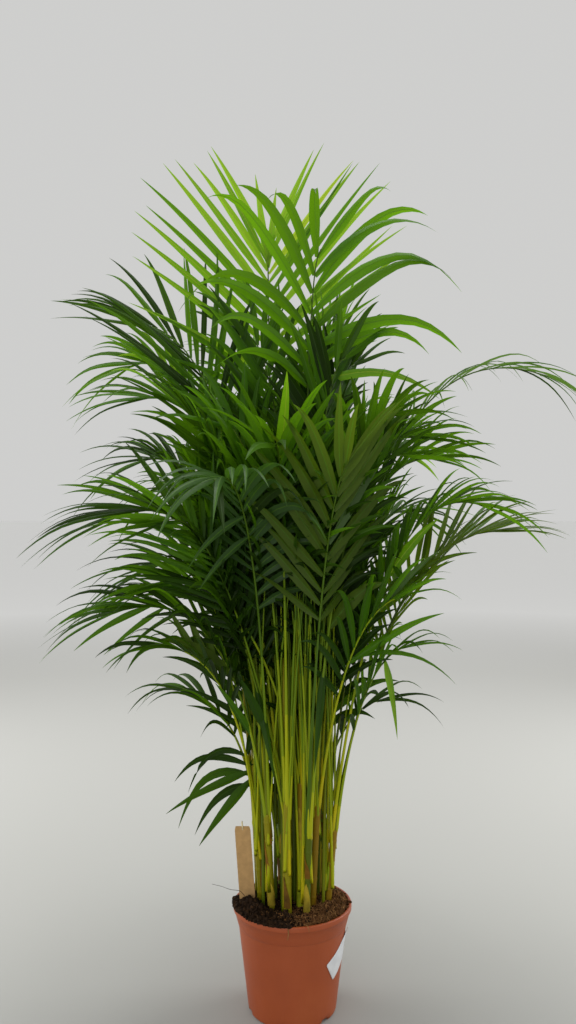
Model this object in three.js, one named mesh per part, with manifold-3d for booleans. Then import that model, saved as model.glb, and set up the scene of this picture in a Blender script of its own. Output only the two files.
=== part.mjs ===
// A potted areca palm: a clump of thin canes in a round nursery pot, each cane
// carrying three feather fronds whose stalks arch out and whose leaflets droop.
// Millimetres, +Z up. The origin is the centre of the pot's flat underside, and
// -Y is the side from which the palm is usually seen.

import * as THREE from "three";
import Module from "manifold-3d";
import { mergeVertices } from "three/addons/utils/BufferGeometryUtils.js";

const wasm = await Module();
wasm.setup();

// Gap between two pieces that rest on each other.
const SEAT_GAP = 0.3;

// Pot: a thin plastic cone with a flared collar and a rolled lip.
const POT_HEIGHT = 169;
const POT_RIM_RADIUS = 95;
const POT_LIP_HEIGHT = 9;
const POT_SHOULDER_Z = 138;
const POT_SHOULDER_RADIUS = 86.5;
const POT_COLLAR_RADIUS = 92.5;
const POT_BASE_RADIUS = 70;
const POT_BASE_ROUND = 5;
const POT_LIP_ROUND = 1.5;
const POT_WALL = 2;
const POT_FLOOR = 3;
const POT_SIDES = 48;

// Drain notches, cut through the rounded lower edge of the pot.
const NOTCH_COUNT = 6;
const NOTCH_WIDTH = 17;
const NOTCH_DEPTH = 9;
const NOTCH_HEIGHT = 6;
const NOTCH_FIRST_DEG = 198;
const NOTCH_TILT_DEG = 25;
const NOTCH_INSET = 3;

// Soil: fills the pot, with a flat top that the canes and the tag stand on, and
// a low heap inside the rim at the left front.
const SOIL_TOP = 167;
const SOIL_EDGE_DROP = 7;
const SOIL_FLAT_RADIUS = 84;
const SOIL_SIDES = 40;
const SOIL_INSET = 2.6;
const HEAP_X = -64;
const HEAP_Y = -39;
const HEAP_RADIUS = 26;
const HEAP_RISE = 16;
const HEAP_SINK = 8;
const HEAP_SIDES = 24;
const HEAP_STEPS = 5;

// Card tag pushed into the soil, with a thin wooden stick through its top.
const TAG_WIDTH = 25;
const TAG_THICK = 1.2;
const TAG_TOP_Z = 293;
const TAG_FOOT_X = -71;
const TAG_FOOT_Y = -10;
const TAG_LEAN = -9;
const TAG_STICK_RADIUS = 1.2;
const TAG_STICK_FOOT = 4;
const TAG_STICK_RISE = 9;
const TAG_STICK_SLANT_DEG = 1.2;

// Paper label wrapped on a slant round the right side of the pot.
const LABEL_WIDTH = 36;
const LABEL_LENGTH = 74;
const LABEL_THICK = 0.8;
const LABEL_SLANT_DEG = 32;
const LABEL_CORNER_DEG = -37;
const LABEL_CORNER_Z = 66;
const LABEL_GAP = 0.45;

// Canes: foot x and y on the soil, foot radius, height of the flat tip, and how
// far the tip leans out from the pot's axis.
const CANE_TIP_RADIUS = 6.3;
const CANE_SIDES = 10;
const CANE_FLARE = 1.2;
const CANE_FLARE_HEIGHT = 10;
const CANE_EVEN_TO = 0.6;
const CANES = [
  { x: -50, y: -3, radius: 5.5, top: 296, lean: 8 },
  { x: -33, y: -24, radius: 6.0, top: 322, lean: 9 },
  { x: -7, y: -46, radius: 6.0, top: 350, lean: 7 },
  { x: 12, y: -24, radius: 5.0, top: 372, lean: 4 },
  { x: 32, y: -20, radius: 5.5, top: 336, lean: 9 },
  { x: 57, y: -8, radius: 5.5, top: 290, lean: 10 },
  { x: 42, y: 18, radius: 5.0, top: 318, lean: 10 },
  { x: 15, y: 6, radius: 5.0, top: 388, lean: 4 },
  { x: -14, y: -8, radius: 5.0, top: 364, lean: 5 },
  { x: -39, y: 22, radius: 5.0, top: 306, lean: 10 },
  { x: -18, y: 42, radius: 5.0, top: 330, lean: 10 },
  { x: 9, y: 36, radius: 5.0, top: 346, lean: 8 },
  { x: 33, y: 46, radius: 5.0, top: 304, lean: 12 },
  { x: 22, y: -50, radius: 5.0, top: 300, lean: 9 },
];

// Fronds. Three stalks stand on each cane, in slots a third of a turn apart.
// A stalk arches from there to its end, at an azimuth (0 is +X, 90 is +Y) and a
// reach from the pot's axis and at a height. bend says how far along the way its
// pull point lies, and lift how far above the end. The first part of its length
// is bare, and leaflets of the given length stand on the rest, turned round the
// stalk by roll, drooping by droop, and opened out by spread.
const FROND_FIELDS = [
  "name", "cane", "slot", "azimuth", "reach", "height", "bend", "lift",
  "bare", "leaf", "roll", "droop", "spread",
];
const FRONDS = [
  ["frond_top_1", 10, 2, 119, 85, 1256, 0.90, -300, 0.70, 303, 43, 0.05, 1.16],
  ["frond_top_2", 7, 2, 314, 64, 1206, 0.05, 0, 0.72, 373, 189, 0.40, 1.03],
  ["frond_top_3", 11, 2, 40, 105, 1090, 0.30, -20, 0.58, 215, 30, 0.10, 0.80],
  ["frond_left_1", 8, 2, 172, 236, 1102, 0.24, -50, 0.54, 300, 50, 0.14, 0.90],
  ["frond_left_2", 10, 1, 180, 266, 1028, 0.42, 90, 0.55, 195, 35, 0.26, 0.86],
  ["frond_left_3", 8, 0, 196, 240, 970, 0.26, 40, 0.52, 215, 25, 0.25, 0.86],
  ["frond_left_4", 9, 2, 166, 262, 880, 0.34, 60, 0.50, 220, 15, 0.32, 0.86],
  ["frond_left_5", 1, 2, 188, 278, 790, 0.14, 76, 0.45, 252, 25, 0.22, 0.86],
  ["frond_left_6", 9, 1, 174, 245, 698, 0.28, 80, 0.42, 210, 10, 0.30, 0.86],
  ["frond_left_7", 1, 0, 193, 286, 640, 0.20, 66, 0.42, 205, 10, 0.30, 0.82],
  ["frond_left_8", 0, 1, 203, 222, 592, 0.22, -6, 0.50, 180, 10, 0.34, 0.76],
  ["frond_left_9", 0, 2, 163, 192, 500, 0.18, -16, 0.50, 185, 5, 0.42, 0.72],
  ["frond_left_10", 0, 0, 187, 78, 412, 0.30, 0, 0.45, 165, -70, 0.60, 1.70],
  ["frond_right_1", 7, 0, 20, 110, 1040, 0.20, -10, 0.58, 200, 60, 0.08, 0.80],
  ["frond_right_2", 6, 0, 6, 430, 1020, 0.14, 118, 0.60, 200, 0, 0.44, 0.72],
  ["frond_right_3", 6, 2, 14, 245, 886, 0.14, 16, 0.52, 220, 25, 0.22, 0.86],
  ["frond_right_4", 5, 2, 352, 300, 806, 0.30, 60, 0.48, 195, 0, 0.30, 0.84],
  ["frond_right_5", 5, 1, 8, 343, 764, 0.31, 0, 0.44, 215, -10, 0.12, 0.84],
  ["frond_right_6", 4, 1, 348, 195, 915, 0.10, 10, 0.52, 205, 25, 0.22, 0.86],
  ["frond_right_7", 4, 0, 335, 175, 664, 0.30, -36, 0.46, 200, 10, 0.24, 0.80],
  ["frond_right_8", 5, 0, 357, 184, 580, 0.30, -14, 0.46, 185, 0, 0.36, 0.74],
  ["frond_right_9", 12, 2, 12, 156, 486, 0.36, -4, 0.50, 180, 0, 0.40, 0.70],
  ["frond_front_1", 2, 2, 215, 130, 930, 0.26, 0, 0.54, 210, 50, 0.12, 0.90],
  ["frond_front_2", 13, 2, 293, 200, 870, 0.36, -60, 0.54, 220, 0, 0.08, 0.90],
  ["frond_front_3", 1, 1, 247, 270, 838, 0.24, 60, 0.52, 210, 0, 0.46, 1.00],
  ["frond_front_4", 3, 0, 255, 130, 900, 0.30, 0, 0.60, 220, 10, 0.10, 0.90],
  ["frond_front_5", 2, 0, 262, 180, 890, 0.24, 30, 0.62, 185, 0, 0.18, 0.90],
  ["frond_front_6", 13, 0, 330, 200, 880, 0.24, 30, 0.62, 185, 0, 0.18, 0.90],
  ["frond_front_7", 2, 1, 285, 110, 800, 0.30, 30, 0.66, 170, 0, 0.16, 0.90],
  ["frond_front_8", 4, 2, 325, 190, 940, 0.26, 20, 0.55, 200, 15, 0.22, 0.84],
  ["frond_back_1", 12, 1, 68, 290, 960, 0.26, 50, 0.52, 220, 0, 0.30, 0.90],
  ["frond_back_2", 10, 0, 108, 320, 900, 0.26, 60, 0.50, 220, 0, 0.35, 0.90],
  ["frond_back_3", 12, 0, 45, 320, 790, 0.26, 60, 0.48, 210, 0, 0.35, 0.90],
  ["frond_back_4", 9, 0, 140, 290, 830, 0.33, 50, 0.48, 210, 0, 0.35, 0.90],
  ["frond_back_5", 11, 0, 88, 300, 720, 0.30, 60, 0.50, 200, 0, 0.38, 0.90],
  ["frond_back_6", 6, 1, 32, 235, 900, 0.22, 30, 0.54, 200, 20, 0.25, 0.86],
  ["frond_back_7", 11, 1, 125, 190, 1050, 0.26, 30, 0.56, 220, 20, 0.20, 0.90],
  ["frond_inner_1", 3, 1, 340, 90, 1040, 0.30, 0, 0.58, 200, 40, 0.10, 0.90],
  ["frond_left_12", 3, 2, 200, 206, 692, 0.30, 0, 0.45, 205, -56, 0.24, 0.90],
  ["frond_inner_2", 7, 1, 150, 90, 1090, 0.30, 0, 0.58, 210, 50, 0.10, 0.90],
  ["frond_left_11", 8, 1, 216, 230, 784, 0.57, 27, 0.45, 205, -73, 0.15, 0.99],
  ["frond_inner_3", 13, 1, 350, 120, 880, 0.30, 10, 0.56, 200, 30, 0.12, 0.90],
];

// Stalk and leaflet sizes that all fronds share.
const SLOT_RADIUS = 3.6;
const STALK_RADIUS = 2.7;
const STALK_END_RADIUS = 1.3;
const STALK_STEPS = 7;
const LEAF_SPACING = 36;
const LEAF_LEAST_PAIRS = 4;
const LEAF_WIDTH = 23;
const LEAF_WIDTH_KEPT = 0.6;
const LEAF_THICK = 2.4;
const LEAF_THICK_PER_LENGTH = 0.0105;
const LEAF_RIDGE_SHARE = 2 / 3;
const LEAF_BEND_AT = 0.48;
const LEAF_ANGLE = { foot: 58, end: 18, fade: 1.2, jitter: 10 };
const LEAF_VEE = { foot: 30, end: 14, jitter: 14 };
const LEAF_TWIST_DEG = 14;
const LEAF_SLIMNESS = 0.13;

// Leaflets are longest past the middle of a frond: least is the share of full
// length at a sine of 0, and the sine runs on from start by sweep half turns.
const LEAF_FULLNESS = { least: 0.25, start: 0.16, sweep: 0.7 };
const LEAF_VARIES = { length: 0.16, droop: 0.6 };

// Corners of the three-sided stalk, as shares of its radius to the side and up.
const STALK_CORNERS = [[-0.87, -0.5], [0.87, -0.5], [0, 1]];

// How a leaflet that would touch something tries other ways to lie before it
// is left out: degrees added to its rise, and its share of the full length. It
// is compared with its own frond only from LEAF_FREE_FROM of the way to its bend.
const FIRST_SEED = 1000;
const SPACE_CELL = 50;
const LEAF_CLEARANCE = 0.5;
const LEAF_FREE_FROM = 0.35;
const LEAF_TRIES = [
  { rise: 0, share: 1 },
  { rise: 9, share: 1 },
  { rise: -9, share: 1 },
  { rise: 18, share: 1 },
  { rise: -18, share: 0.96 },
  { rise: 27, share: 0.96 },
  { rise: -27, share: 0.92 },
  { rise: 36, share: 0.9 },
  { rise: 12, share: 0.7 },
  { rise: -12, share: 0.7 },
];

const UP = new THREE.Vector3(0, 0, 1);
const rad = THREE.MathUtils.degToRad;
const lerp = THREE.MathUtils.lerp;

const materials = {
  pot: () => new THREE.MeshStandardMaterial({ color: 0xa9552f, roughness: 0.55, metalness: 0 }),
  soil: () => new THREE.MeshStandardMaterial({ color: 0x2c2019, roughness: 1, metalness: 0 }),
  card: () => new THREE.MeshStandardMaterial({ color: 0xb98d5e, roughness: 0.9, metalness: 0 }),
  paper: () => new THREE.MeshStandardMaterial({ color: 0xe4e6e8, roughness: 0.6, metalness: 0 }),
  cane: () => new THREE.MeshStandardMaterial({ color: 0x7f8f22, roughness: 0.5, metalness: 0 }),
  frond: () => new THREE.MeshStandardMaterial({ color: 0x3c7a1e, roughness: 0.5, metalness: 0 }),
};

function namedMesh(name, geometry, material) {
  const mesh = new THREE.Mesh(geometry, material);
  mesh.name = name;
  return mesh;
}

// Azimuth in degrees to a level unit vector.
function heading(degrees) {
  return new THREE.Vector3(Math.cos(rad(degrees)), Math.sin(rad(degrees)), 0);
}

// A small seeded generator of numbers from 0 to 1.
function seededRandom(seed) {
  let state = seed >>> 0;
  return () => {
    state = (state + 0x6d2b79f5) >>> 0;
    let mixed = state;
    mixed = Math.imul(mixed ^ (mixed >>> 15), mixed | 1);
    mixed ^= mixed + Math.imul(mixed ^ (mixed >>> 7), mixed | 61);
    return ((mixed ^ (mixed >>> 14)) >>> 0) / 4294967296;
  };
}

// Closed meshes to solids and back, for the pieces that are cut or joined.
function toSolid(geometry) {
  const bare = geometry.clone();
  bare.deleteAttribute("normal");
  bare.deleteAttribute("uv");
  const merged = mergeVertices(bare, 1e-4);
  return new wasm.Manifold(new wasm.Mesh({
    numProp: 3,
    vertProperties: new Float32Array(merged.attributes.position.array),
    triVerts: new Uint32Array(merged.index.array),
  }));
}

function toGeometry(solid) {
  const mesh = solid.getMesh();
  const geometry = new THREE.BufferGeometry();
  geometry.setAttribute("position", new THREE.BufferAttribute(mesh.vertProperties, 3));
  geometry.setIndex(new THREE.BufferAttribute(mesh.triVerts, 1));
  geometry.computeVertexNormals();
  return geometry;
}

// A lathe turned round the Z axis from [radius, z] pairs.
function turned(profile, sides) {
  const points = profile.map(([radius, z]) => new THREE.Vector2(radius, z));
  return new THREE.LatheGeometry(points, sides).rotateX(Math.PI / 2);
}

// Outer radius of the pot's conical body at a height.
function bodyRadius(z) {
  return lerp(POT_BASE_RADIUS, POT_SHOULDER_RADIUS, z / POT_SHOULDER_Z);
}

function potProfile() {
  const lipFoot = POT_HEIGHT - POT_LIP_HEIGHT;
  return [
    [0, 0],
    [POT_BASE_RADIUS - POT_BASE_ROUND, 0],
    [POT_BASE_RADIUS - 0.3 * POT_BASE_ROUND, 0.3 * POT_BASE_ROUND],
    [bodyRadius(POT_BASE_ROUND), POT_BASE_ROUND],
    [POT_SHOULDER_RADIUS, POT_SHOULDER_Z],
    [POT_COLLAR_RADIUS, lipFoot],
    [POT_RIM_RADIUS, lipFoot + POT_LIP_ROUND],
    [POT_RIM_RADIUS, POT_HEIGHT - POT_LIP_ROUND],
    [POT_RIM_RADIUS - POT_LIP_ROUND, POT_HEIGHT],
    [POT_COLLAR_RADIUS - POT_WALL, POT_HEIGHT],
    [POT_COLLAR_RADIUS - POT_WALL - 1, lipFoot],
    [POT_SHOULDER_RADIUS - POT_WALL, POT_SHOULDER_Z],
    [bodyRadius(POT_FLOOR) - POT_WALL, POT_FLOOR],
    [0, POT_FLOOR],
  ];
}

function makePot() {
  let solid = toSolid(turned(potProfile(), POT_SIDES));
  for (let i = 0; i < NOTCH_COUNT; i += 1) {
    const angle = rad(NOTCH_FIRST_DEG + (360 * i) / NOTCH_COUNT);
    const notch = new THREE.BoxGeometry(2 * NOTCH_DEPTH, NOTCH_WIDTH, NOTCH_HEIGHT);
    notch.rotateY(rad(-NOTCH_TILT_DEG));
    notch.translate(POT_BASE_RADIUS + NOTCH_INSET, 0, 0);
    notch.rotateZ(angle);
    solid = solid.subtract(toSolid(notch));
  }
  return namedMesh("pot", toGeometry(solid), materials.pot());
}

// A round heap, cut off where the soil meets the inside of the pot.
function makeHeap(edgeRadius) {
  const profile = [[0, -HEAP_SINK], [HEAP_RADIUS, -HEAP_SINK]];
  for (let step = 0; step < HEAP_STEPS; step += 1) {
    const angle = (Math.PI / 2) * (step / HEAP_STEPS);
    profile.push([HEAP_RADIUS * Math.cos(angle), HEAP_RISE * Math.sin(angle)]);
  }
  profile.push([0, HEAP_RISE]);
  const heap = turned(profile, HEAP_SIDES);
  heap.translate(HEAP_X, HEAP_Y, SOIL_TOP);
  const low = SOIL_TOP - HEAP_SINK;
  const high = SOIL_TOP + HEAP_RISE;
  const inside = turned([[0, low], [edgeRadius, low], [edgeRadius, high], [0, high]], SOIL_SIDES);
  return toSolid(heap).intersect(toSolid(inside));
}

function makeSoil() {
  const bottom = POT_FLOOR + SEAT_GAP;
  const edge = SOIL_TOP - SOIL_EDGE_DROP;
  const edgeRadius = POT_COLLAR_RADIUS - SOIL_INSET - 1;
  const profile = [
    [0, bottom],
    [bodyRadius(bottom) - SOIL_INSET, bottom],
    [POT_SHOULDER_RADIUS - SOIL_INSET, POT_SHOULDER_Z],
    [edgeRadius, edge],
    [SOIL_FLAT_RADIUS, SOIL_TOP],
    [0, SOIL_TOP],
  ];
  const solid = toSolid(turned(profile, SOIL_SIDES)).add(makeHeap(edgeRadius));
  return namedMesh("soil", toGeometry(solid), materials.soil());
}

function makeTag() {
  const foot = SOIL_TOP + SEAT_GAP;
  const height = TAG_TOP_Z - foot;
  const card = new THREE.BoxGeometry(TAG_WIDTH, TAG_THICK, height);
  card.translate(0, 0, height / 2);
  const stickLength = height - TAG_STICK_FOOT + TAG_STICK_RISE;
  const stick = new THREE.CylinderGeometry(TAG_STICK_RADIUS, TAG_STICK_RADIUS, stickLength, 8);
  stick.rotateX(Math.PI / 2);
  stick.translate(0, 0, TAG_STICK_FOOT + stickLength / 2);
  stick.rotateX(rad(TAG_STICK_SLANT_DEG));
  const lean = new THREE.Matrix4().makeShear(0, 0, 0, 0, TAG_LEAN / height, 0);
  const geometry = toGeometry(toSolid(card).add(toSolid(stick)));
  geometry.applyMatrix4(lean);
  const mesh = namedMesh("card_tag", geometry, materials.card());
  mesh.position.set(TAG_FOOT_X, TAG_FOOT_Y, foot);
  return mesh;
}

// The label is a grid bent onto the pot's cone, with a front and a back face.
function makeLabel() {
  const columns = 9;
  const rows = 4;
  const slant = rad(LABEL_SLANT_DEG);
  const positions = [];
  for (const lift of [LABEL_GAP, LABEL_GAP + LABEL_THICK]) {
    for (let row = 0; row < rows; row += 1) {
      for (let column = 0; column < columns; column += 1) {
        const along = (LABEL_LENGTH * column) / (columns - 1);
        const across = (LABEL_WIDTH * row) / (rows - 1);
        const arc = along * Math.cos(slant) - across * Math.sin(slant);
        const z = LABEL_CORNER_Z + along * Math.sin(slant) + across * Math.cos(slant);
        const angle = rad(LABEL_CORNER_DEG) + arc / bodyRadius(z);
        const radius = bodyRadius(z) + lift;
        positions.push(radius * Math.cos(angle), radius * Math.sin(angle), z);
      }
    }
  }
  const layer = rows * columns;
  const index = [];
  const quad = (a, b, c, d) => index.push(a, b, c, a, c, d);
  for (let row = 0; row < rows - 1; row += 1) {
    for (let column = 0; column < columns - 1; column += 1) {
      const a = row * columns + column;
      quad(layer + a, layer + a + 1, layer + a + columns + 1, layer + a + columns);
      quad(a, a + columns, a + columns + 1, a + 1);
    }
  }
  const rim = [];
  for (let column = 0; column < columns; column += 1) rim.push(column);
  for (let row = 1; row < rows; row += 1) rim.push(row * columns + columns - 1);
  for (let column = columns - 2; column >= 0; column -= 1) rim.push((rows - 1) * columns + column);
  for (let row = rows - 2; row > 0; row -= 1) rim.push(row * columns);
  rim.forEach((a, i) => {
    const b = rim[(i + 1) % rim.length];
    quad(a, b, layer + b, layer + a);
  });
  const geometry = new THREE.BufferGeometry();
  geometry.setAttribute("position", new THREE.Float32BufferAttribute(positions, 3));
  geometry.setIndex(index);
  geometry.computeVertexNormals();
  return namedMesh("pot_label", geometry, materials.paper());
}

function caneTip(cane) {
  const out = new THREE.Vector3(cane.x, cane.y, 0).normalize().multiplyScalar(cane.lean);
  return new THREE.Vector3(cane.x, cane.y, cane.top).add(out);
}

// A cane is a lathe sheared outwards, so that its foot and tip stay level.
function makeCane(cane, number) {
  const foot = SOIL_TOP + SEAT_GAP;
  const height = cane.top - foot;
  const tip = caneTip(cane);
  const geometry = turned([
    [0, 0],
    [cane.radius * CANE_FLARE, 0],
    [cane.radius, CANE_FLARE_HEIGHT],
    [cane.radius, CANE_EVEN_TO * height],
    [CANE_TIP_RADIUS, height],
    [0, height],
  ], CANE_SIDES);
  const leanX = (tip.x - cane.x) / height;
  const leanY = (tip.y - cane.y) / height;
  geometry.applyMatrix4(new THREE.Matrix4().makeShear(0, 0, 0, 0, leanX, leanY));
  const mesh = namedMesh(`cane_${String(number).padStart(2, "0")}`, geometry, materials.cane());
  mesh.position.set(cane.x, cane.y, foot);
  return mesh;
}

// The middle line of a frond, with a frame at any share of its length.
class FrondLine {
  constructor(frond) {
    const cane = CANES[frond.cane];
    const outwards = THREE.MathUtils.radToDeg(Math.atan2(cane.y, cane.x));
    const seat = heading(outwards + 120 * frond.slot).multiplyScalar(SLOT_RADIUS);
    const start = caneTip(cane).add(seat);
    start.z += SEAT_GAP;
    const end = heading(frond.azimuth).multiplyScalar(frond.reach);
    end.z = frond.height;
    const pull = start.clone().lerp(end, frond.bend);
    pull.z = frond.height + frond.lift;
    this.curve = new THREE.QuadraticBezierCurve3(start, pull, end);
    this.out = new THREE.Vector3(end.x - start.x, end.y - start.y, 0).normalize();
    this.roll = rad(frond.roll);
  }

  at(share) {
    const point = this.curve.getPointAt(share);
    const along = this.curve.getTangentAt(share);
    const level = new THREE.Vector3().crossVectors(this.out, UP);
    const above = new THREE.Vector3().crossVectors(level, along).normalize();
    const inwards = UP.clone().multiplyScalar(along.dot(this.out)).addScaledVector(this.out, -along.z);
    if (above.dot(inwards) < 0) above.negate();
    const side = level.clone().multiplyScalar(Math.cos(this.roll));
    side.addScaledVector(above, Math.sin(this.roll));
    const face = above.clone().multiplyScalar(Math.cos(this.roll));
    face.addScaledVector(level, -Math.sin(this.roll));
    return { point, along, side, face };
  }
}

// A thin blade or stalk, as flat triangles with a reach to each side of them,
// kept in a grid of cells so that only near ones are compared.
class Space {
  constructor(cell) {
    this.cell = cell;
    this.cells = new Map();
  }

  keys(box) {
    const keys = [];
    const low = box.min.clone().divideScalar(this.cell).floor();
    const high = box.max.clone().divideScalar(this.cell).floor();
    for (let x = low.x; x <= high.x; x += 1) {
      for (let y = low.y; y <= high.y; y += 1) {
        for (let z = low.z; z <= high.z; z += 1) keys.push(`${x},${y},${z}`);
      }
    }
    return keys;
  }

  add(item) {
    for (const key of this.keys(item.box)) {
      if (!this.cells.has(key)) this.cells.set(key, []);
      this.cells.get(key).push(item);
    }
  }

  isClear(item) {
    for (const key of this.keys(item.box)) {
      for (const other of this.cells.get(key) ?? []) {
        if (other.owner === item.owner && !(other.free && item.free)) continue;
        if (!other.box.intersectsBox(item.box)) continue;
        const need = item.reach + other.reach + LEAF_CLEARANCE;
        if (triangleGap(item.triangle, other.triangle) < need) return false;
      }
    }
    return true;
  }
}

// owner is the frond that a piece belongs to. free says that the piece lies
// away from the stalk it grows on, so that it is compared with its own frond too.
function blade(a, b, c, reach, owner, free) {
  const triangle = new THREE.Triangle(a, b, c);
  const box = new THREE.Box3().setFromPoints([a, b, c]).expandByScalar(reach + LEAF_CLEARANCE);
  return { triangle, box, reach, owner, free };
}

function edgesOf(triangle) {
  return [
    new THREE.Line3(triangle.a, triangle.b),
    new THREE.Line3(triangle.b, triangle.c),
    new THREE.Line3(triangle.c, triangle.a),
  ];
}

function crosses(edge, triangle) {
  const way = edge.delta(new THREE.Vector3());
  const length = way.length();
  if (length < 1e-6) return false;
  const ray = new THREE.Ray(edge.start, way.divideScalar(length));
  const hit = ray.intersectTriangle(triangle.a, triangle.b, triangle.c, false, new THREE.Vector3());
  return hit !== null && hit.distanceTo(edge.start) <= length;
}

// Shortest distance between two triangles, or 0 where they cross.
function triangleGap(one, two) {
  const oneEdges = edgesOf(one);
  const twoEdges = edgesOf(two);
  const near = new THREE.Vector3();
  let gap = Infinity;
  for (const edge of oneEdges) {
    if (crosses(edge, two)) return 0;
    for (const other of twoEdges) gap = Math.min(gap, Math.sqrt(edge.distanceSqToLine3(other)));
  }
  for (const edge of twoEdges) {
    if (crosses(edge, one)) return 0;
  }
  for (const corner of [one.a, one.b, one.c]) {
    gap = Math.min(gap, two.closestPointToPoint(corner, near).distanceTo(corner));
  }
  for (const corner of [two.a, two.b, two.c]) {
    gap = Math.min(gap, one.closestPointToPoint(corner, near).distanceTo(corner));
  }
  return gap;
}

function stalkRadius(share) {
  return lerp(STALK_RADIUS, STALK_END_RADIUS, share);
}

// A point along a leaflet: straight out at first, then bent down by its weight.
function leafPoint(foot, way, length, droop, share) {
  const out = length * share * (1 - 0.25 * droop * share);
  const point = foot.clone().addScaledVector(way, out);
  point.z -= length * droop * share * share;
  return point;
}

// The section of a leaflet at its bend: rear edge, front edge and ridge.
function leafSection(middle, across, normal, width, thick) {
  const ridge = LEAF_RIDGE_SHARE * thick;
  return [
    middle.clone().addScaledVector(across, -width / 2).addScaledVector(normal, ridge - thick),
    middle.clone().addScaledVector(across, width / 2).addScaledVector(normal, ridge - thick),
    middle.clone().addScaledVector(normal, ridge),
  ];
}

// Where a leaflet lies for one try. hand is 1 on the right of the stalk.
function placeLeaf(frond, frame, foot, share, hand, draw, attempt) {
  const angle = lerp(LEAF_ANGLE.foot, LEAF_ANGLE.end, share ** LEAF_ANGLE.fade) * frond.spread;
  const open = rad(angle + LEAF_ANGLE.jitter * (draw.angle - 0.5));
  const vee = lerp(LEAF_VEE.foot, LEAF_VEE.end, share) + LEAF_VEE.jitter * (draw.vee - 0.5);
  const rise = rad(vee + attempt.rise);
  const outwards = frame.side.clone().multiplyScalar(hand * Math.cos(rise));
  outwards.addScaledVector(frame.face, Math.sin(rise));
  const way = frame.along.clone().multiplyScalar(Math.cos(open));
  way.addScaledVector(outwards, Math.sin(open)).normalize();
  const { least, start, sweep } = LEAF_FULLNESS;
  const fullness = least + (1 - least) * Math.sin(Math.PI * (start + sweep * share));
  const stretch = 1 + LEAF_VARIES.length * (draw.length - 0.5);
  const length = frond.leaf * fullness * stretch * attempt.share;
  const droop = frond.droop * (1 + LEAF_VARIES.droop * (draw.droop - 0.5));
  const across = frame.along.clone().addScaledVector(way, -frame.along.dot(way)).normalize();
  const flat = new THREE.Vector3().crossVectors(across, way).multiplyScalar(hand);
  const twist = rad(LEAF_TWIST_DEG);
  const turnedAcross = across.clone().multiplyScalar(Math.cos(twist));
  turnedAcross.addScaledVector(flat, Math.sin(twist));
  const normal = flat.clone().multiplyScalar(Math.cos(twist)).addScaledVector(across, -Math.sin(twist));
  if (normal.dot(frame.face) < 0) normal.negate();
  const middle = leafPoint(foot, way, length, droop, LEAF_BEND_AT);
  const tip = leafPoint(foot, way, length, droop, 1);
  const fullWidth = LEAF_WIDTH * lerp(LEAF_WIDTH_KEPT, 1, fullness);
  const width = Math.min(fullWidth, LEAF_SLIMNESS * length);
  const thick = Math.max(LEAF_THICK, LEAF_THICK_PER_LENGTH * length);
  return { section: leafSection(middle, turnedAcross, normal, width, thick), tip, thick };
}

// The blades that stand for a leaflet when it is compared with the others.
function leafBlades(base, leaf, owner) {
  const [rear, front] = leaf.section;
  const reach = LEAF_RIDGE_SHARE * leaf.thick;
  const freeRear = base[0].clone().lerp(rear, LEAF_FREE_FROM);
  const freeFront = base[1].clone().lerp(front, LEAF_FREE_FROM);
  return [
    blade(base[0], base[1], freeFront, reach, owner, false),
    blade(base[0], freeFront, freeRear, reach, owner, false),
    blade(freeRear, freeFront, front, reach, owner, true),
    blade(freeRear, front, rear, reach, owner, true),
    blade(rear, front, leaf.tip, reach, owner, true),
  ];
}

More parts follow.
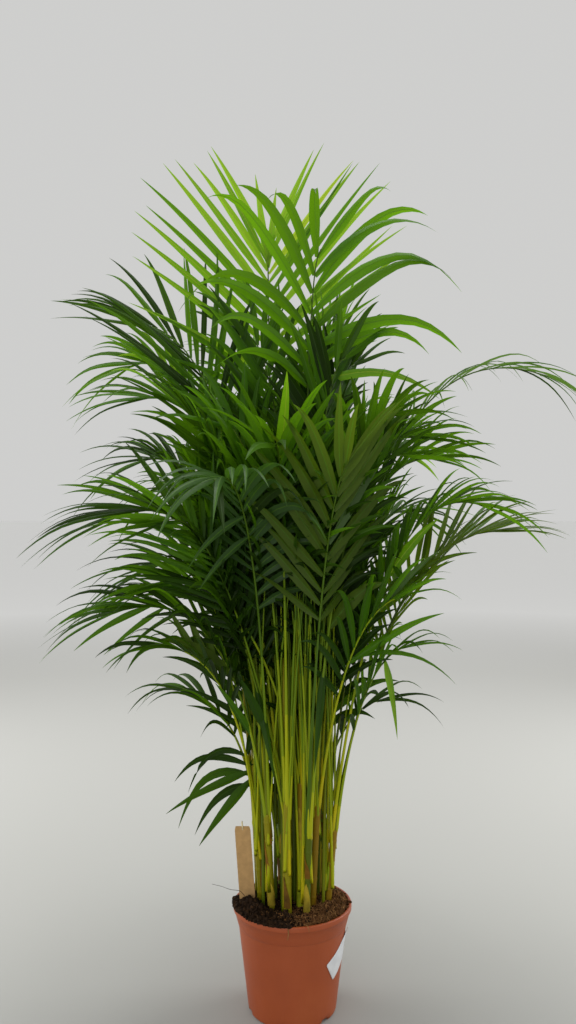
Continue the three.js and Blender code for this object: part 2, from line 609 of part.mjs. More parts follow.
// One frond as a closed body: a three-sided stalk, with each leaflet grown from
// a triangle of the stalk's upper left or upper right face.
class FrondBody {
  constructor(row, number) {
    this.frond = Object.fromEntries(FROND_FIELDS.map((field, i) => [field, row[i]]));
    this.number = number;
    this.line = new FrondLine(this.frond);
    this.random = seededRandom(FIRST_SEED + number);
    this.points = [];
    this.index = [];
    this.layRings();
  }

  // The share of the stalk's length at a step. Past the bare steps, each step
  // carries a pair of leaflets.
  shareAt(step) {
    const { bare } = this.frond;
    if (step < STALK_STEPS) return (bare * step) / STALK_STEPS;
    return bare + ((1 - bare) * (step - STALK_STEPS)) / this.pairs;
  }

  // A corner of the stalk. Its top corners lie half a step on where leaflets grow.
  cornerAt(step, [side, face]) {
    const isEnd = step < STALK_STEPS || step === STALK_STEPS + this.pairs;
    const share = this.shareAt(face > 0 && !isEnd ? step + 0.5 : step);
    const frame = this.line.at(share);
    const radius = stalkRadius(share);
    const corner = frame.point.clone();
    corner.addScaledVector(frame.side, side * radius).addScaledVector(frame.face, face * radius);
    if (step === 0) corner.z = frame.point.z;
    return corner;
  }

  layRings() {
    const leafyLength = this.line.curve.getLength() * (1 - this.frond.bare);
    this.pairs = Math.max(LEAF_LEAST_PAIRS, Math.round(leafyLength / LEAF_SPACING));
    this.rings = [];
    for (let step = 0; step <= STALK_STEPS + this.pairs; step += 1) {
      this.rings.push(STALK_CORNERS.map((corner) => this.addPoint(this.cornerAt(step, corner))));
    }
  }

  addPoint(point) {
    this.points.push(point);
    return this.points.length - 1;
  }

  addTriangle(a, b, c) {
    this.index.push(a, b, c);
  }

  // A four-sided face, creased along the diagonal that stands outwards.
  addSide(a, b, c, d) {
    const [atA, atB, atC, atD] = [a, b, c, d].map((id) => this.points[id]);
    const plane = new THREE.Plane().setFromCoplanarPoints(atA, atB, atC);
    const order = plane.distanceToPoint(atD) < 0 ? [a, b, c, d] : [b, c, d, a];
    this.addTriangle(order[0], order[1], order[2]);
    this.addTriangle(order[0], order[2], order[3]);
  }

  claimStalk(space) {
    for (let i = 0; i < this.rings.length - 1; i += 1) {
      const start = this.line.at(this.shareAt(i)).point;
      const end = this.line.at(this.shareAt(i + 1)).point;
      space.add(blade(start, end, end, stalkRadius(this.shareAt(i)), this.number, true));
    }
  }

  // Tries the ways a leaflet can lie until one is clear of all the rest.
  findLeaf(base, frame, share, hand, space) {
    const draw = {
      angle: this.random(), vee: this.random(), length: this.random(), droop: this.random(),
    };
    const foot = base[0].clone().add(base[1]).multiplyScalar(0.5);
    for (const attempt of LEAF_TRIES) {
      const leaf = placeLeaf(this.frond, frame, foot, share, hand, draw, attempt);
      const blades = leafBlades(base, leaf, this.number);
      if (blades.every((item) => space.isClear(item))) {
        blades.forEach((item) => space.add(item));
        return leaf;
      }
    }
    return null;
  }

  growLeaf(corners, share, hand, frame, space) {
    const base = corners.map((id) => this.points[id]);
    const pair = hand > 0 ? [base[0], base[1]] : [base[1], base[0]];
    const leaf = this.findLeaf(pair, frame, share, hand, space);
    if (!leaf) {
      this.addTriangle(...corners);
      return;
    }
    const [rear, front, ridge] = leaf.section;
    const order = hand > 0 ? [rear, front, ridge] : [front, rear, ridge];
    const section = order.map((point) => this.addPoint(point));
    const tip = this.addPoint(leaf.tip);
    for (let i = 0; i < 3; i += 1) {
      const j = (i + 1) % 3;
      this.addSide(corners[i], corners[j], section[j], section[i]);
      this.addTriangle(section[i], section[j], tip);
    }
  }

  grow(space) {
    const first = this.rings[0];
    const last = this.rings[this.rings.length - 1];
    this.addTriangle(first[0], first[1], first[2]);
    this.addTriangle(last[0], last[2], last[1]);
    for (let i = 0; i < this.rings.length - 1; i += 1) {
      const [left, right, top] = this.rings[i];
      const [nextLeft, nextRight, nextTop] = this.rings[i + 1];
      this.addTriangle(left, nextRight, right);
      this.addTriangle(left, nextLeft, nextRight);
      this.addTriangle(top, nextRight, nextTop);
      this.addTriangle(nextLeft, top, nextTop);
      if (i < STALK_STEPS) {
        this.addTriangle(right, nextRight, top);
        this.addTriangle(nextLeft, left, top);
      } else {
        const share = (i - STALK_STEPS + 0.5) / this.pairs;
        const frame = this.line.at(this.shareAt(i + 0.5));
        this.growLeaf([right, nextRight, top], share, 1, frame, space);
        this.growLeaf([nextLeft, left, top], share, -1, frame, space);
      }
    }
  }

  toMesh() {
    const geometry = new THREE.BufferGeometry().setFromPoints(this.points);
    geometry.setIndex(this.index);
    geometry.computeVertexNormals();
    return namedMesh(this.frond.name, geometry, materials.frond());
  }
}

function claimCanes(space) {
  CANES.forEach((cane, i) => {
    const foot = new THREE.Vector3(cane.x, cane.y, SOIL_TOP);
    const tip = caneTip(cane);
    space.add(blade(foot, tip, tip, CANE_TIP_RADIUS, -1 - i, true));
  });
}

function makeFronds() {
  const space = new Space(SPACE_CELL);
  const fronds = FRONDS.map((row, i) => new FrondBody(row, i));
  claimCanes(space);
  fronds.forEach((frond) => frond.claimStalk(space));
  fronds.forEach((frond) => frond.grow(space));
  return fronds.map((frond) => frond.toMesh());
}

const palm = new THREE.Group();
palm.add(makePot(), makeSoil(), makeTag(), makeLabel());
CANES.forEach((cane, i) => palm.add(makeCane(cane, i + 1)));
palm.add(...makeFronds());

export default palm;
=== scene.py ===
"""The looks of a potted areca palm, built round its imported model.

Sizes are in millimetres, and become metres where a mesh is made. +Z is up and the
palm is seen from -Y. The fronds follow the same rule as the solids that they stand
for, carried on to more and finer leaflets.
"""

import math

import bpy
import numpy as np
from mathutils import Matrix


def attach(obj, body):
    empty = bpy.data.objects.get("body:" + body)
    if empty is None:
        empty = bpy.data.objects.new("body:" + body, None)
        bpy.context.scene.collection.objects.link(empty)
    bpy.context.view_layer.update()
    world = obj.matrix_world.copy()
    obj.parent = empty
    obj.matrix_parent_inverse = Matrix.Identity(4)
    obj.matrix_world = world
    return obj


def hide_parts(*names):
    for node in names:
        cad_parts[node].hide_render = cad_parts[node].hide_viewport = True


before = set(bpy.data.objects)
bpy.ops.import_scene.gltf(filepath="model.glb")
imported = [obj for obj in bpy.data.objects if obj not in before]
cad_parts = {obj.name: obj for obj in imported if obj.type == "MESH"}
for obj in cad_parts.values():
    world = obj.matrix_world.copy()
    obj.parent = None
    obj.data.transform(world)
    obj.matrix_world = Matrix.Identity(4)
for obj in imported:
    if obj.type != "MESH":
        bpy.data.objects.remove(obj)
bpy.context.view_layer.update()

MM = 0.001
TURN = 2 * math.pi
UP = np.array([0.0, 0.0, 1.0])

# Camera: level, a little above the middle of the palm.
VIEWER_AZIMUTH = 270
CAMERA_AT = (-7, -1458, 796)
CAMERA_LENS = 31.8
CAMERA_SENSOR = 36

# Studio: a pale floor that fades into the colour of what surrounds it, and lights, each
# with its place, where it points, its size and its power.
FLOOR_COLORS = ((160, 160, 156), (204, 204, 200), (250, 250, 249))
FLOOR_PLACES = (0, 0.5, 1)
FLOOR_FADE = (0.4, 6)
FLOOR_RADII = (0.01, 400, 1200, 3000, 7000, 20000, 80000)
FLOOR_SIDES = 96
FLOOR_Z = -0.4
STUDIO_LIGHT = 0.62
STUDIO_COLOR = (1.0, 1.0, 0.985, 1)
LIGHTS = {
    "light_top": ((0, 300, 3200), (0, 0, 1100), (1800, 1400), 52),
    "light_left": ((-2300, 900, 1500), (0, 0, 900), (1500, 2000), 34),
    "light_right": ((2300, 900, 1500), (0, 0, 900), (1500, 2000), 38),
    "light_front": ((-700, -3000, 1100), (0, 0, 300), (1800, 1400), 22),
}

# Pot, as its solid: a thin cone with a flared collar and a rolled lip. Its shoulder,
# its collar and the steps of its outline from these are [radius, z] pairs. The drain
# notches' first azimuth and half width are in degrees.
POT_HEIGHT = 169
POT_RIM_RADIUS = 95
POT_SHOULDER = (86.5, 138)
POT_SHOULDER_STEPS = ((0, -0.8), (0.7, 0), (1.1, 1.2))
POT_COLLAR = (92.5, 160)
POT_COLLAR_STEPS = ((-2.4, -12), (0, -0.6), (0.6, 0))
POT_LIP_UNDER = (0.9, 0.3)
POT_LIP_ROUNDS = {"foot": 1.2, "top": 1.8, "inside": 1}
POT_BASE_RADIUS = 70
POT_BASE_ROUND = 5
POT_BASE_RISE = 0.6
POT_BASE_OUT = 0.4
POT_FOOT_RING = (58, 61)
POT_BASE_RINGS = (0.01, 40, POT_FOOT_RING[0])
POT_BODY_RINGS = 30
POT_BODY_WITHIN = (POT_BASE_ROUND + 4, POT_SHOULDER[1] - 2)
POT_WALL = 2
POT_WOBBLE = {"by": 0.25, "count": 3, "turned": 1}
POT_SIDES = 180
NOTCH = {"count": 6, "first": 198, "half": 7.5, "depth": 7, "height": 7, "lift": 0.5}
NOTCH_OUTSIDE = POT_BASE_RADIUS - 14

# Soil: a crumbly surface, heaped over the rim at the left front. A heap has its middle,
# radius, rise and share of the crumbs, and a wave its length, depth and number. A
# pair named OVER says where a change starts and over how much it runs.
SOIL_TOP = 167
SOIL_RADIUS = 89.5
SOIL_RINGS = 60
SOIL_SIDES = 200
SOIL_RISE = 1.0
SOIL_FALL = 5.5
SOIL_FALL_OVER = (78, 12)
SOIL_EDGE = {"over": 3, "most": 163}
HEAPS = [
    (-70, -36, 26, 17, 0.26),
    (-50, -60, 24, 12, 0.16),
    (-76, 0, 22, 8, 0.1),
    (34, -62, 32, 8, 0.12),
    (64, -34, 28, 8, 0.1),
    (-12, -74, 22, 7, 0.08),
    (58, 14, 42, 10, 0.07),
    (-46, 28, 36, 13, 0.06),
    (8, 52, 46, 10, 0.05),
]
HEAP_STEEP = 1.6
SOIL_WAVES = ((34, 0.8, 5), (15, 0.55, 8), (7, 0.4, 12), (3.6, 0.25, 14))
WAVE_VARIES = (0.7, 1.3)
BROWN_SOIL = {"from": 8, "varies": 14}
BROWN_CRUMBS = {"from": 14, "varies": 22}
CRUMB_COUNT = 2600
CRUMBS_WITHIN = POT_RIM_RADIUS - 2
CRUMB_HEAPED = {"share": 0.5, "spread": 0.55}
CRUMB_SIZES = {"small": (0.8, 2.1), "large": (2.0, 4.2), "small_share": 0.8}
CRUMB_RIGHT = {"from": 10, "size": 0.7}
CRUMB_SEAT = {"top": 0.25, "rim": 0.3}
LUMP_SQUEEZE = (0.6, 1.15)
LUMP_ROUGH = 0.13
RIM_CRUMB_COUNT = 1300
RIM_CRUMB_AZIMUTHS = (172, 268)
RIM_CRUMB_OUT = (SOIL_RADIUS - 3, POT_RIM_RADIUS + 0.6)
RIM_CRUMB_SIZES = (0.8, 3.2)
RIM_CRUMB_PILE = {"high": 8, "wide": 1.6}
FIBRE_COUNT = 1300
FIBRE_OUT = {"foot": 84, "end": 88}
FIBRE_LEFT_SPREAD = 34
FIBRE_LENGTH = (6, 22)
FIBRE_CURL = 1.4
FIBRE_RISE = (0.3, 3.5)
FIBRE_RADIUS = (0.15, 0.4)
FIBRE_STEPS = 6
FIBRE_SIDES = 4

# Small roots that show: two over the front rim, then a hair-thin one to the left. Each
# has its stops, its number of steps, its radii, its sides and its material.
ROOTS = [
    (((-14, -76, 168), (-10, -88, 172), (-7, -95.5, 169.5), (-6, -97, 160), (-8, -96, 151)),
     22, (1.3, 0.5), 7, 0),
    (((16, -82, 168), (22, -90, 171), (24, -95.5, 169), (25, -96.5, 163)),
     16, (0.9, 0.35), 6, 0),
    (((-66, -34, 180), (-82, -34, 200), (-98, -33, 201), (-112, -32, 206), (-127, -31, 209)),
     40, (0.5, 0.25), 5, 1),
]
ROOT_SMOOTHINGS = 6

# Card tag, its stick, and the label on the pot.
TAG_WIDTH = 25
TAG_THICK = 1.2
TAG_TOP_Z = 293
TAG_FOOT = (-71, -10)
TAG_LEAN = -9
TAG_BOW = {"up": 1.4, "across": 0.6}
TAG_CORNER = 1.6
TAG_GRID = (24, 9)
STICK_RADIUS = 1.2
STICK_END = 0.6
STICK_RISE = 9
STICK_FOOT = 3
STICK_STEPS = 60
STICK_SIDES = 10
STICK_BEHIND = {"by": 1.9, "from": 0.06, "to": 0.9, "over": 0.03}
LABEL_WIDTH = 36
LABEL_LENGTH = 74
LABEL_SLANT_DEG = 32
LABEL_CORNER_DEG = -37
LABEL_CORNER_Z = 66
LABEL_CORNER_ROUND = 2.0
LABEL_GAP = 0.25
LABEL_THICK = 0.32
LABEL_OFF = 0.15
LABEL_LIFT = {"by": 4.5, "along": 40, "across": 8}
LABEL_WAVE = {"depth": 0.12, "along": 5.2, "across": 7.1}
LABEL_GRID = (20, 40)

# Canes: a flared foot, a rounded top, faint ribs, and rings that bulge below a dip.
CANE_GRID = (90, 20)
CANE_SUNK = 2.5
CANE_FLARE = {"by": 1.2, "over": 6}
CANE_TOP_OVER = (0.6, 0.4)
CANE_CLOSE = {"by": 0.86, "least": 0.02}
CANE_CLOSE_OVER = (0.965, 0.035)
CANE_RIBS = {"depth": 0.018, "count": 5, "turned_most": 6}
CANE_RINGS = {"first": (14, 30), "apart": (20, 46), "end": 12}
RING_BULGE = {"by": 0.5, "half": 2.2}
RING_DIP = {"by": 0.35, "above": 2.4}

# Shoots: young thin canes between the others, each closed to a point, and the spear
# of an unopened leaf at the top of each cane.
SHOOT_COUNT = 30
SHOOT_SPREAD = (60, 46)
SHOOT_RADIUS = (2.4, 3.9)
SHOOT_TOP = (430, 720)
SHOOT_LEAN = (0.15, 0.85)
SHOOT_LEAN_OVER = 400
SHOOT_BOW = (1.2, 2.4)
SHOOT_TAPER = {"by": 0.5, "end": 0.12, "over": 6}
SHOOT_STEPS = 24
SHOOT_SIDES = 8
SPEAR_RISE = (110, 210)
SPEAR = {"from": 0.97, "foot": 0.93, "end": 0.4, "taper": 0.8, "sides": 10}

# Sheaths: dry leaf bases that still wrap the canes.
SHEATH_COUNT = (1, 4)
SHEATH_GAP = (0, 22)
SHEATH_TALL = (26, 84)
SHEATH_BELOW_TIP = 6
SHEATH_WIDE_DEG = (150, 300)
SHEATH_NARROWS = 0.45
SHEATH_PEAK = {"by": 0.45, "sharp": 1.5, "torn": 0.4}
SHEATH_OFF = {"foot": 0.55, "top": 1.1, "varies": (0.3, 1.6), "flare": 0.7}
SHEATH_NEXT = 0.5
SHEATH_GRID = (16, 15)

# Fronds. Three stalks stand on each cane, in slots a third of a turn apart. A stalk
# arches to its end, at an azimuth and a reach from the pot's axis and at a height.
# bend says how far along the way its pull point lies, and lift how far above the
# end. The first part of its length is bare, and leaflets of the given length stand
# on the rest, turned by roll, drooping by droop and opened out by spread. The last
# three say how far apart the leaflets are, how wide, and which tint they take.
FROND_FIELDS = (
    "name", "cane", "slot", "azimuth", "reach", "height", "bend", "lift",
    "bare", "leaf", "roll", "droop", "spread", "spacing", "width", "tint",
)
# The tint of each frond holds painted light and shade as well as the leaves' own colour: fronds
# in light take lighter tints and fronds in shade darker ones.
FRONDS = [
    ("top_1", 10, 2, 119, 85, 1256, 0.90, -300, 0.70, 303, 43, 0.05, 1.16, 22, 15, 1.8),
    ("top_2", 7, 2, 314, 64, 1206, 0.05, 0, 0.72, 373, 189, 0.40, 1.03, 30, 21, 3.2),
    ("top_3", 11, 2, 40, 105, 1090, 0.30, -20, 0.58, 215, 30, 0.10, 0.80, 16, 14, 4.0),
    ("left_1", 8, 2, 172, 236, 1102, 0.24, -50, 0.54, 300, 50, 0.14, 0.90, 19, 12, 5.0),
    ("left_2", 10, 1, 180, 266, 1028, 0.42, 90, 0.55, 195, 35, 0.26, 0.86, 15, 12, 3.2),
    ("left_3", 8, 0, 196, 240, 970, 0.26, 40, 0.52, 215, 25, 0.25, 0.86, 14, 12, 3.8),
    ("left_4", 9, 2, 166, 262, 880, 0.34, 60, 0.50, 220, 15, 0.32, 0.86, 14, 12, 5.2),
    ("left_5", 1, 2, 188, 278, 790, 0.14, 76, 0.45, 252, 25, 0.22, 0.86, 14, 12, 5.0),
    ("left_6", 9, 1, 174, 245, 698, 0.28, 80, 0.42, 210, 10, 0.30, 0.86, 17, 12, 5.4),
    ("left_7", 1, 0, 193, 286, 640, 0.20, 66, 0.42, 205, 10, 0.30, 0.82, 17, 12, 4.8),
    ("left_8", 0, 1, 203, 222, 592, 0.22, -6, 0.50, 180, 10, 0.34, 0.76, 19, 12, 5.0),
    ("left_9", 0, 2, 163, 192, 500, 0.18, -16, 0.50, 185, 5, 0.42, 0.72, 22, 12, 5.0),
    ("left_10", 0, 0, 187, 78, 412, 0.30, 0, 0.45, 165, -70, 0.60, 1.70, 40, 17, 4.4),
    ("right_1", 7, 0, 20, 110, 1040, 0.20, -10, 0.58, 200, 60, 0.08, 0.80, 16, 12, 4.6),
    ("right_2", 6, 0, 6, 430, 1020, 0.14, 118, 0.60, 200, 0, 0.44, 0.72, 28, 6.5, 8.0),
    ("right_3", 6, 2, 14, 245, 886, 0.14, 16, 0.52, 220, 25, 0.22, 0.86, 15, 12, 4.0),
    ("right_4", 5, 2, 352, 300, 806, 0.30, 60, 0.48, 195, 0, 0.30, 0.84, 15, 12, 4.2),
    ("right_5", 5, 1, 8, 343, 764, 0.31, 0, 0.44, 215, -10, 0.12, 0.84, 15, 12, 9.3),
    ("right_6", 4, 1, 348, 195, 915, 0.10, 10, 0.52, 205, 25, 0.22, 0.86, 15, 12, 4.4),
    ("right_7", 4, 0, 335, 175, 664, 0.30, -36, 0.46, 200, 10, 0.24, 0.80, 20, 12, 2.8),
    ("right_8", 5, 0, 357, 184, 580, 0.30, -14, 0.46, 185, 0, 0.36, 0.74, 22, 12, 3.6),
    ("right_9", 12, 2, 12, 156, 486, 0.36, -4, 0.50, 180, 0, 0.40, 0.70, 34, 17, 5.0),
    ("front_1", 2, 2, 215, 130, 930, 0.26, 0, 0.54, 210, 50, 0.12, 0.90, 22, 17, 3.8),
    ("front_2", 13, 2, 293, 200, 870, 0.36, -60, 0.54, 220, 0, 0.08, 0.90, 26, 20, 9.8),
    ("front_3", 1, 1, 247, 270, 838, 0.24, 60, 0.52, 210, 0, 0.46, 1.00, 20, 17, 7.2),
    ("front_4", 3, 0, 255, 130, 900, 0.30, 0, 0.60, 220, 10, 0.10, 0.90, 24, 19, 3.8),
    ("front_5", 2, 0, 262, 180, 890, 0.24, 30, 0.62, 185, 0, 0.18, 0.90, 24, 18, 4.0),
    ("front_6", 13, 0, 330, 200, 880, 0.24, 30, 0.62, 185, 0, 0.18, 0.90, 24, 18, 4.4),
    ("front_7", 2, 1, 285, 110, 800, 0.30, 30, 0.66, 170, 0, 0.16, 0.90, 24, 18, 5.2),
    ("front_8", 4, 2, 325, 190, 940, 0.26, 20, 0.55, 200, 15, 0.22, 0.84, 20, 16, 4.8),
    ("back_1", 12, 1, 68, 290, 960, 0.26, 50, 0.52, 220, 0, 0.30, 0.90, 15, 12, 4.4),
    ("back_2", 10, 0, 108, 320, 900, 0.26, 60, 0.50, 220, 0, 0.35, 0.90, 15, 12, 4.6),
    ("back_3", 12, 0, 45, 320, 790, 0.26, 60, 0.48, 210, 0, 0.35, 0.90, 15, 12, 5.0),
    ("back_4", 9, 0, 140, 290, 830, 0.33, 50, 0.48, 210, 0, 0.35, 0.90, 15, 12, 5.0),
    ("back_5", 11, 0, 88, 300, 720, 0.30, 60, 0.50, 200, 0, 0.38, 0.90, 15, 12, 5.0),
    ("back_6", 6, 1, 32, 235, 900, 0.22, 30, 0.54, 200, 20, 0.25, 0.86, 15, 12, 4.2),
    ("back_7", 11, 1, 125, 190, 1050, 0.26, 30, 0.56, 220, 20, 0.20, 0.90, 15, 12, 3.6),
    ("inner_1", 3, 1, 340, 90, 1040, 0.30, 0, 0.58, 200, 40, 0.10, 0.90, 20, 16, 5.0),
    ("left_12", 3, 2, 200, 206, 692, 0.30, 0, 0.45, 205, -56, 0.24, 0.90, 14, 12, 4.0),
    ("inner_2", 7, 1, 150, 90, 1090, 0.30, 0, 0.58, 210, 50, 0.10, 0.90, 19, 15, 4.4),
    ("left_11", 8, 1, 216, 230, 784, 0.57, 27, 0.45, 205, -73, 0.15, 0.99, 14, 12, 4.4),
    ("inner_3", 13, 1, 350, 120, 880, 0.30, 10, 0.56, 200, 30, 0.12, 0.90, 20, 16, 4.8),
]
FROND_GROUPS = ("top", "left", "right", "front", "back", "inner", "fill")

# Slimmer fronds that fill the crown between those, some on each cane. They reach out
# less at the crown's foot and top. In front they stay within a belt of heights and
# are bare for longer, so that the stalks show below it and a young frond above. A
# pair in a table is a range to draw from.
FILL_PER_CANE = 6
FILL_AZIMUTH_VARIES = 70
FILL_HEIGHT = (640, 990)
FILL_REACH_HEIGHTS = (600, 720, 900, 1000)
FILL_REACH_MOST = (90, 200, 190, 110)
FILL_REACH_LEAST = 40
FILL_REACH_OUTWARDS = 0.7
FILL_BARE = 0.64
FILL_FRONT_AZIMUTHS = (205, 345)
FILL_FRONT_HEIGHT = (770, 870)
FILL_FRONT_BARE = 0.76
FILL_FRONT_REACH_MOST = 100
FILL_STALK_SLIM = 0.8
FILL_SLOT = {"first": 0.3, "apart": 0.8}
FILL = {
    "bend": (0.3, 0.55), "lift": (-230, 10), "leaf": (170, 220), "roll": (0, 40),
    "droop": (0.08, 0.3), "spread": 0.86, "spacing": 23, "width": 14,
    "tint": (3.2, 5.9), "seat": (0.12, 0.98),
}

# Short fronds low at the back, behind the stalks, whose dark tints are painted shade.
SHADE_CANES = (6, 9, 10, 11, 12)
SHADE_PER_CANE = 3
SHADE_FIRST_SLOT = 0.8
SHADE = {
    "azimuth": (40, 140), "reach": (40, 150), "height": (500, 680), "bend": 0.3,
    "lift": 10, "bare": 0.5, "leaf": (170, 220), "roll": (0, 60), "droop": (0.05, 0.3),
    "spread": 0.86, "spacing": 22, "width": 16, "tint": (5.4, 6.2), "seat": (0.5, 0.95),
}

# Loose leaves, each on the stalk nearest to its foot: where its foot and tip are, how
# it droops, its width and its tint.
LOOSE_FIELDS = ("foot", "tip", "droop", "width", "tint")
LOOSE_LEAVES = [
    ((-42, 74, 1256), (-66, 60, 1391), 0.02, 15, 1.0),
    ((-42, 74, 1256), (-30, 66, 1370), 0.02, 14, 0.8),
    ((144, -60, 561), (164, -66, 444), 0.50, 13, 0.6),
    ((66, -74, 548), (45, -86, 400), 0.06, 14, 4.6),
    ((-66, -50, 520), (-30, -66, 386), 0.06, 15, 4.6),
    ((-94, -38, 530), (-217, -76, 600), 0.30, 25, 9.2),
    ((-221, -54, 647), (-336, -66, 582), 0.20, 12, 3.6),
    ((-198, -50, 646), (-288, -64, 577), 0.10, 10, 3.8),
    ((-235, -58, 649), (-360, -66, 622), 0.35, 10, 4.4),
    ((-174, -48, 638), (-275, -60, 554), 0.40, 7, 5.4),
    ((-150, -55, 568), (-196, -60, 650), 0.04, 15, 9.2),
    ((-133, -50, 553), (-169, -54, 650), 0.04, 16, 9.0),
    ((-117, -46, 535), (-139, -50, 640), 0.04, 16, 9.2),
    ((-57, -90, 444), (-95, -100, 548), 0.06, 18, 5.0),
    ((-78, -80, 436), (-129, -84, 531), 0.08, 14, 4.4),
    ((-68, -5, 379), (-198, -40, 324), 0.10, 17, 5.2),
    ((-66, -5, 366), (-145, -40, 274), 0.10, 19, 4.9),
    ((100, -60, 552), (238, -70, 645), 0.12, 15, 2.6),
    ((60, -90, 616), (140, -110, 694), 0.30, 25, 9.1),
    ((137, -40, 697), (220, -50, 794), 0.15, 18, 1.7),
    ((126, -20, 672), (282, -30, 744), 0.20, 12, 9.1),
    ((139, -20, 640), (258, -30, 728), 0.12, 13, 9.1),
    ((115, -60, 656), (219, -60, 751), 0.10, 12, 8.4),
    ((60, 80, 600), (200, 90, 760), 0.10, 22, 5.4),
    ((60, 100, 560), (230, 90, 690), 0.15, 22, 5.2),
    ((40, 90, 640), (190, 110, 800), 0.05, 22, 5.5),
    ((104, -60, 560), (266, -30, 528), 0.45, 9, 3.4),
    ((146, -80, 712), (180, -90, 660), 0.30, 11, 3.6),
    ((-46, -130, 758), (-126, -150, 682), 0.30, 13, 6.9),
    ((-70, -120, 800), (-150, -150, 720), 0.40, 13, 7.2),
    ((60, 40, 455), (172, 10, 530), 0.30, 15, 5.2),
]
LOOSE_SHAPE = {"twist": 0.15, "tip_droop": 0.03, "sway": 0.02}
LOOSE_FOLLOW = 0.5
LOOSE_ROUNDS = 8
STALK_PLACES = (0.05, 0.95, 80)

# Sizes that all fronds share.
CURVE_STEPS = 401
SEAT_GAP = 0.3
SLOT_RADIUS = 3.6
SLOT_APART_DEG = 120
BESIDE_CANE = 4.5
STALK_RADIUS = 2.7
STALK_END_RADIUS = 1.0
STALK_SWELL = {"by": 0.9, "over": 14}
STALK_SIDES = 8
STALK_RINGS = {"foot": 14, "rest": 56, "foot_share": 0.12}
STALK_SUNK = {"to": 0.8, "steps": (0.7, 0.35), "radii": [3.2, 3.5]}
STALK_GROOVE = 0.16
LEAF_PAIRS_LEAST = 4
LEAF_PLACE_VARIES = {"close": 0.22, "wide": 0.08, "wide_over": 28}
LEAF_LAST = 0.995
LEAF_FOOT = {"side": 0.6, "face": 0.3}
LEAF_ANGLE = {"foot": 58, "end": 18, "fade": 1.2, "jitter": 10}
LEAF_VEE = {"foot": 30, "end": 14, "jitter": 14}
LEAF_FULLNESS = {"least": 0.25, "start": 0.16, "sweep": 0.7}
LEAF_WIDTH = {"least": 0.6, "varies": (0.85, 1.12)}
LEAF_OUTLINE = {"foot": 0.36, "widest": 0.3, "taper": 0.95, "belly": 0.38, "thread": 0.012}
LEAF_VARIES = {"length": 0.16, "droop": 0.6}
LEAF_STATIONS = np.array(
    [0, 0.03, 0.08, 0.15, 0.24, 0.34, 0.45, 0.56, 0.66, 0.76, 0.85, 0.92, 0.97, 1.0]
)
LEAF_FOLD_DEG = {"foot": 34, "end": 12, "fade": 0.6}
LEAF_TWIST_DEG = {"foot": 12, "varies": 26}
LEAF_TIP_DROOP = {"least": 0.02, "most": 0.11, "from": 0.55}
LEAF_SWAY = 0.05
DROOP_SHORTENS = 0.25
STRAIGHT_FROND = "top_1"
STRAIGHTER = {"tip_droop": 0.25, "twist": 0.4, "sway": 0.4}
RIB_HALF = 0.55
RIB_RISE = 0.3
RIB_MOST = {"half": 0.25, "rise": 0.1}
# Painted shade: leaflets below a height and near the axis take darker tints.
DEEP_SHADE = {"below": 735, "over": 110, "within": 130, "edge": 1.6, "tints": 2.6}

# Where the runs of random draws start.
FIRST_SEED = 1000
FILL_SEED = FIRST_SEED - 1
RIM_CRUMB_SEED = FIRST_SEED + 7
SHOOT_SEED = FIRST_SEED + 8

# Leaf tints, as sRGB values out of 255: the blade's own colour, then the light that
# comes through it. The first seven go from new and lit to old and in shade, so they hold
# the leaves' age and also painted light and painted shade. The last three are a cool
# green, a greyish one and an olive one.
LEAF_TINTS = [
    ((118, 154, 24), (190, 218, 44)),
    ((92, 138, 20), (154, 200, 36)),
    ((76, 122, 12), (132, 184, 22)),
    ((62, 106, 9), (110, 162, 16)),
    ((52, 90, 7), (94, 140, 13)),
    ((42, 73, 6), (76, 114, 10)),
    ((30, 51, 5), (48, 76, 8)),
    ((46, 76, 26), (74, 116, 26)),
    ((76, 102, 54), (104, 140, 54)),
    ((66, 89, 11), (94, 120, 14)),
]
LEAF_TINT_VARIES = 0.7
LEAF_TINT_FADE = 0.5
DULL_LEAF_TINT = 3
OLD_LEAF_TINT = 5
# Tint 6, the darkest of the seven, is painted deep shade. No leaflet is pushed past
# DEEPEST_TINT unless its frond's own tint lies beyond it.
DEEP_LEAF_TINT = 6
DEEPEST_TINT = 6.4
# Ribs take a light, a mid or a dark tint after their blade's tint, so they carry the blade's
# painted light and shade as well.
NEW_RIBS_TO_TINT = 2
GREEN_RIBS_TO_TINT = 4
RIB_TINTS = [
    ((124, 152, 34), (164, 194, 46)),
    ((66, 102, 18), (96, 142, 24)),
    ((38, 64, 9), (60, 92, 12)),
]
STALK_TINTS = [(176, 166, 8), (156, 162, 8), (126, 144, 8), (94, 120, 8), (66, 94, 8)]
STALK_GREENS = {"from": 330, "over": 150, "frond": 0.35, "less": 0.4, "varies": 0.5}
CANE_TINTS = [(130, 124, 8), (104, 113, 8), (82, 98, 8), (78, 92, 8), (130, 104, 13)]
GREEN_CANE_TINTS = 4

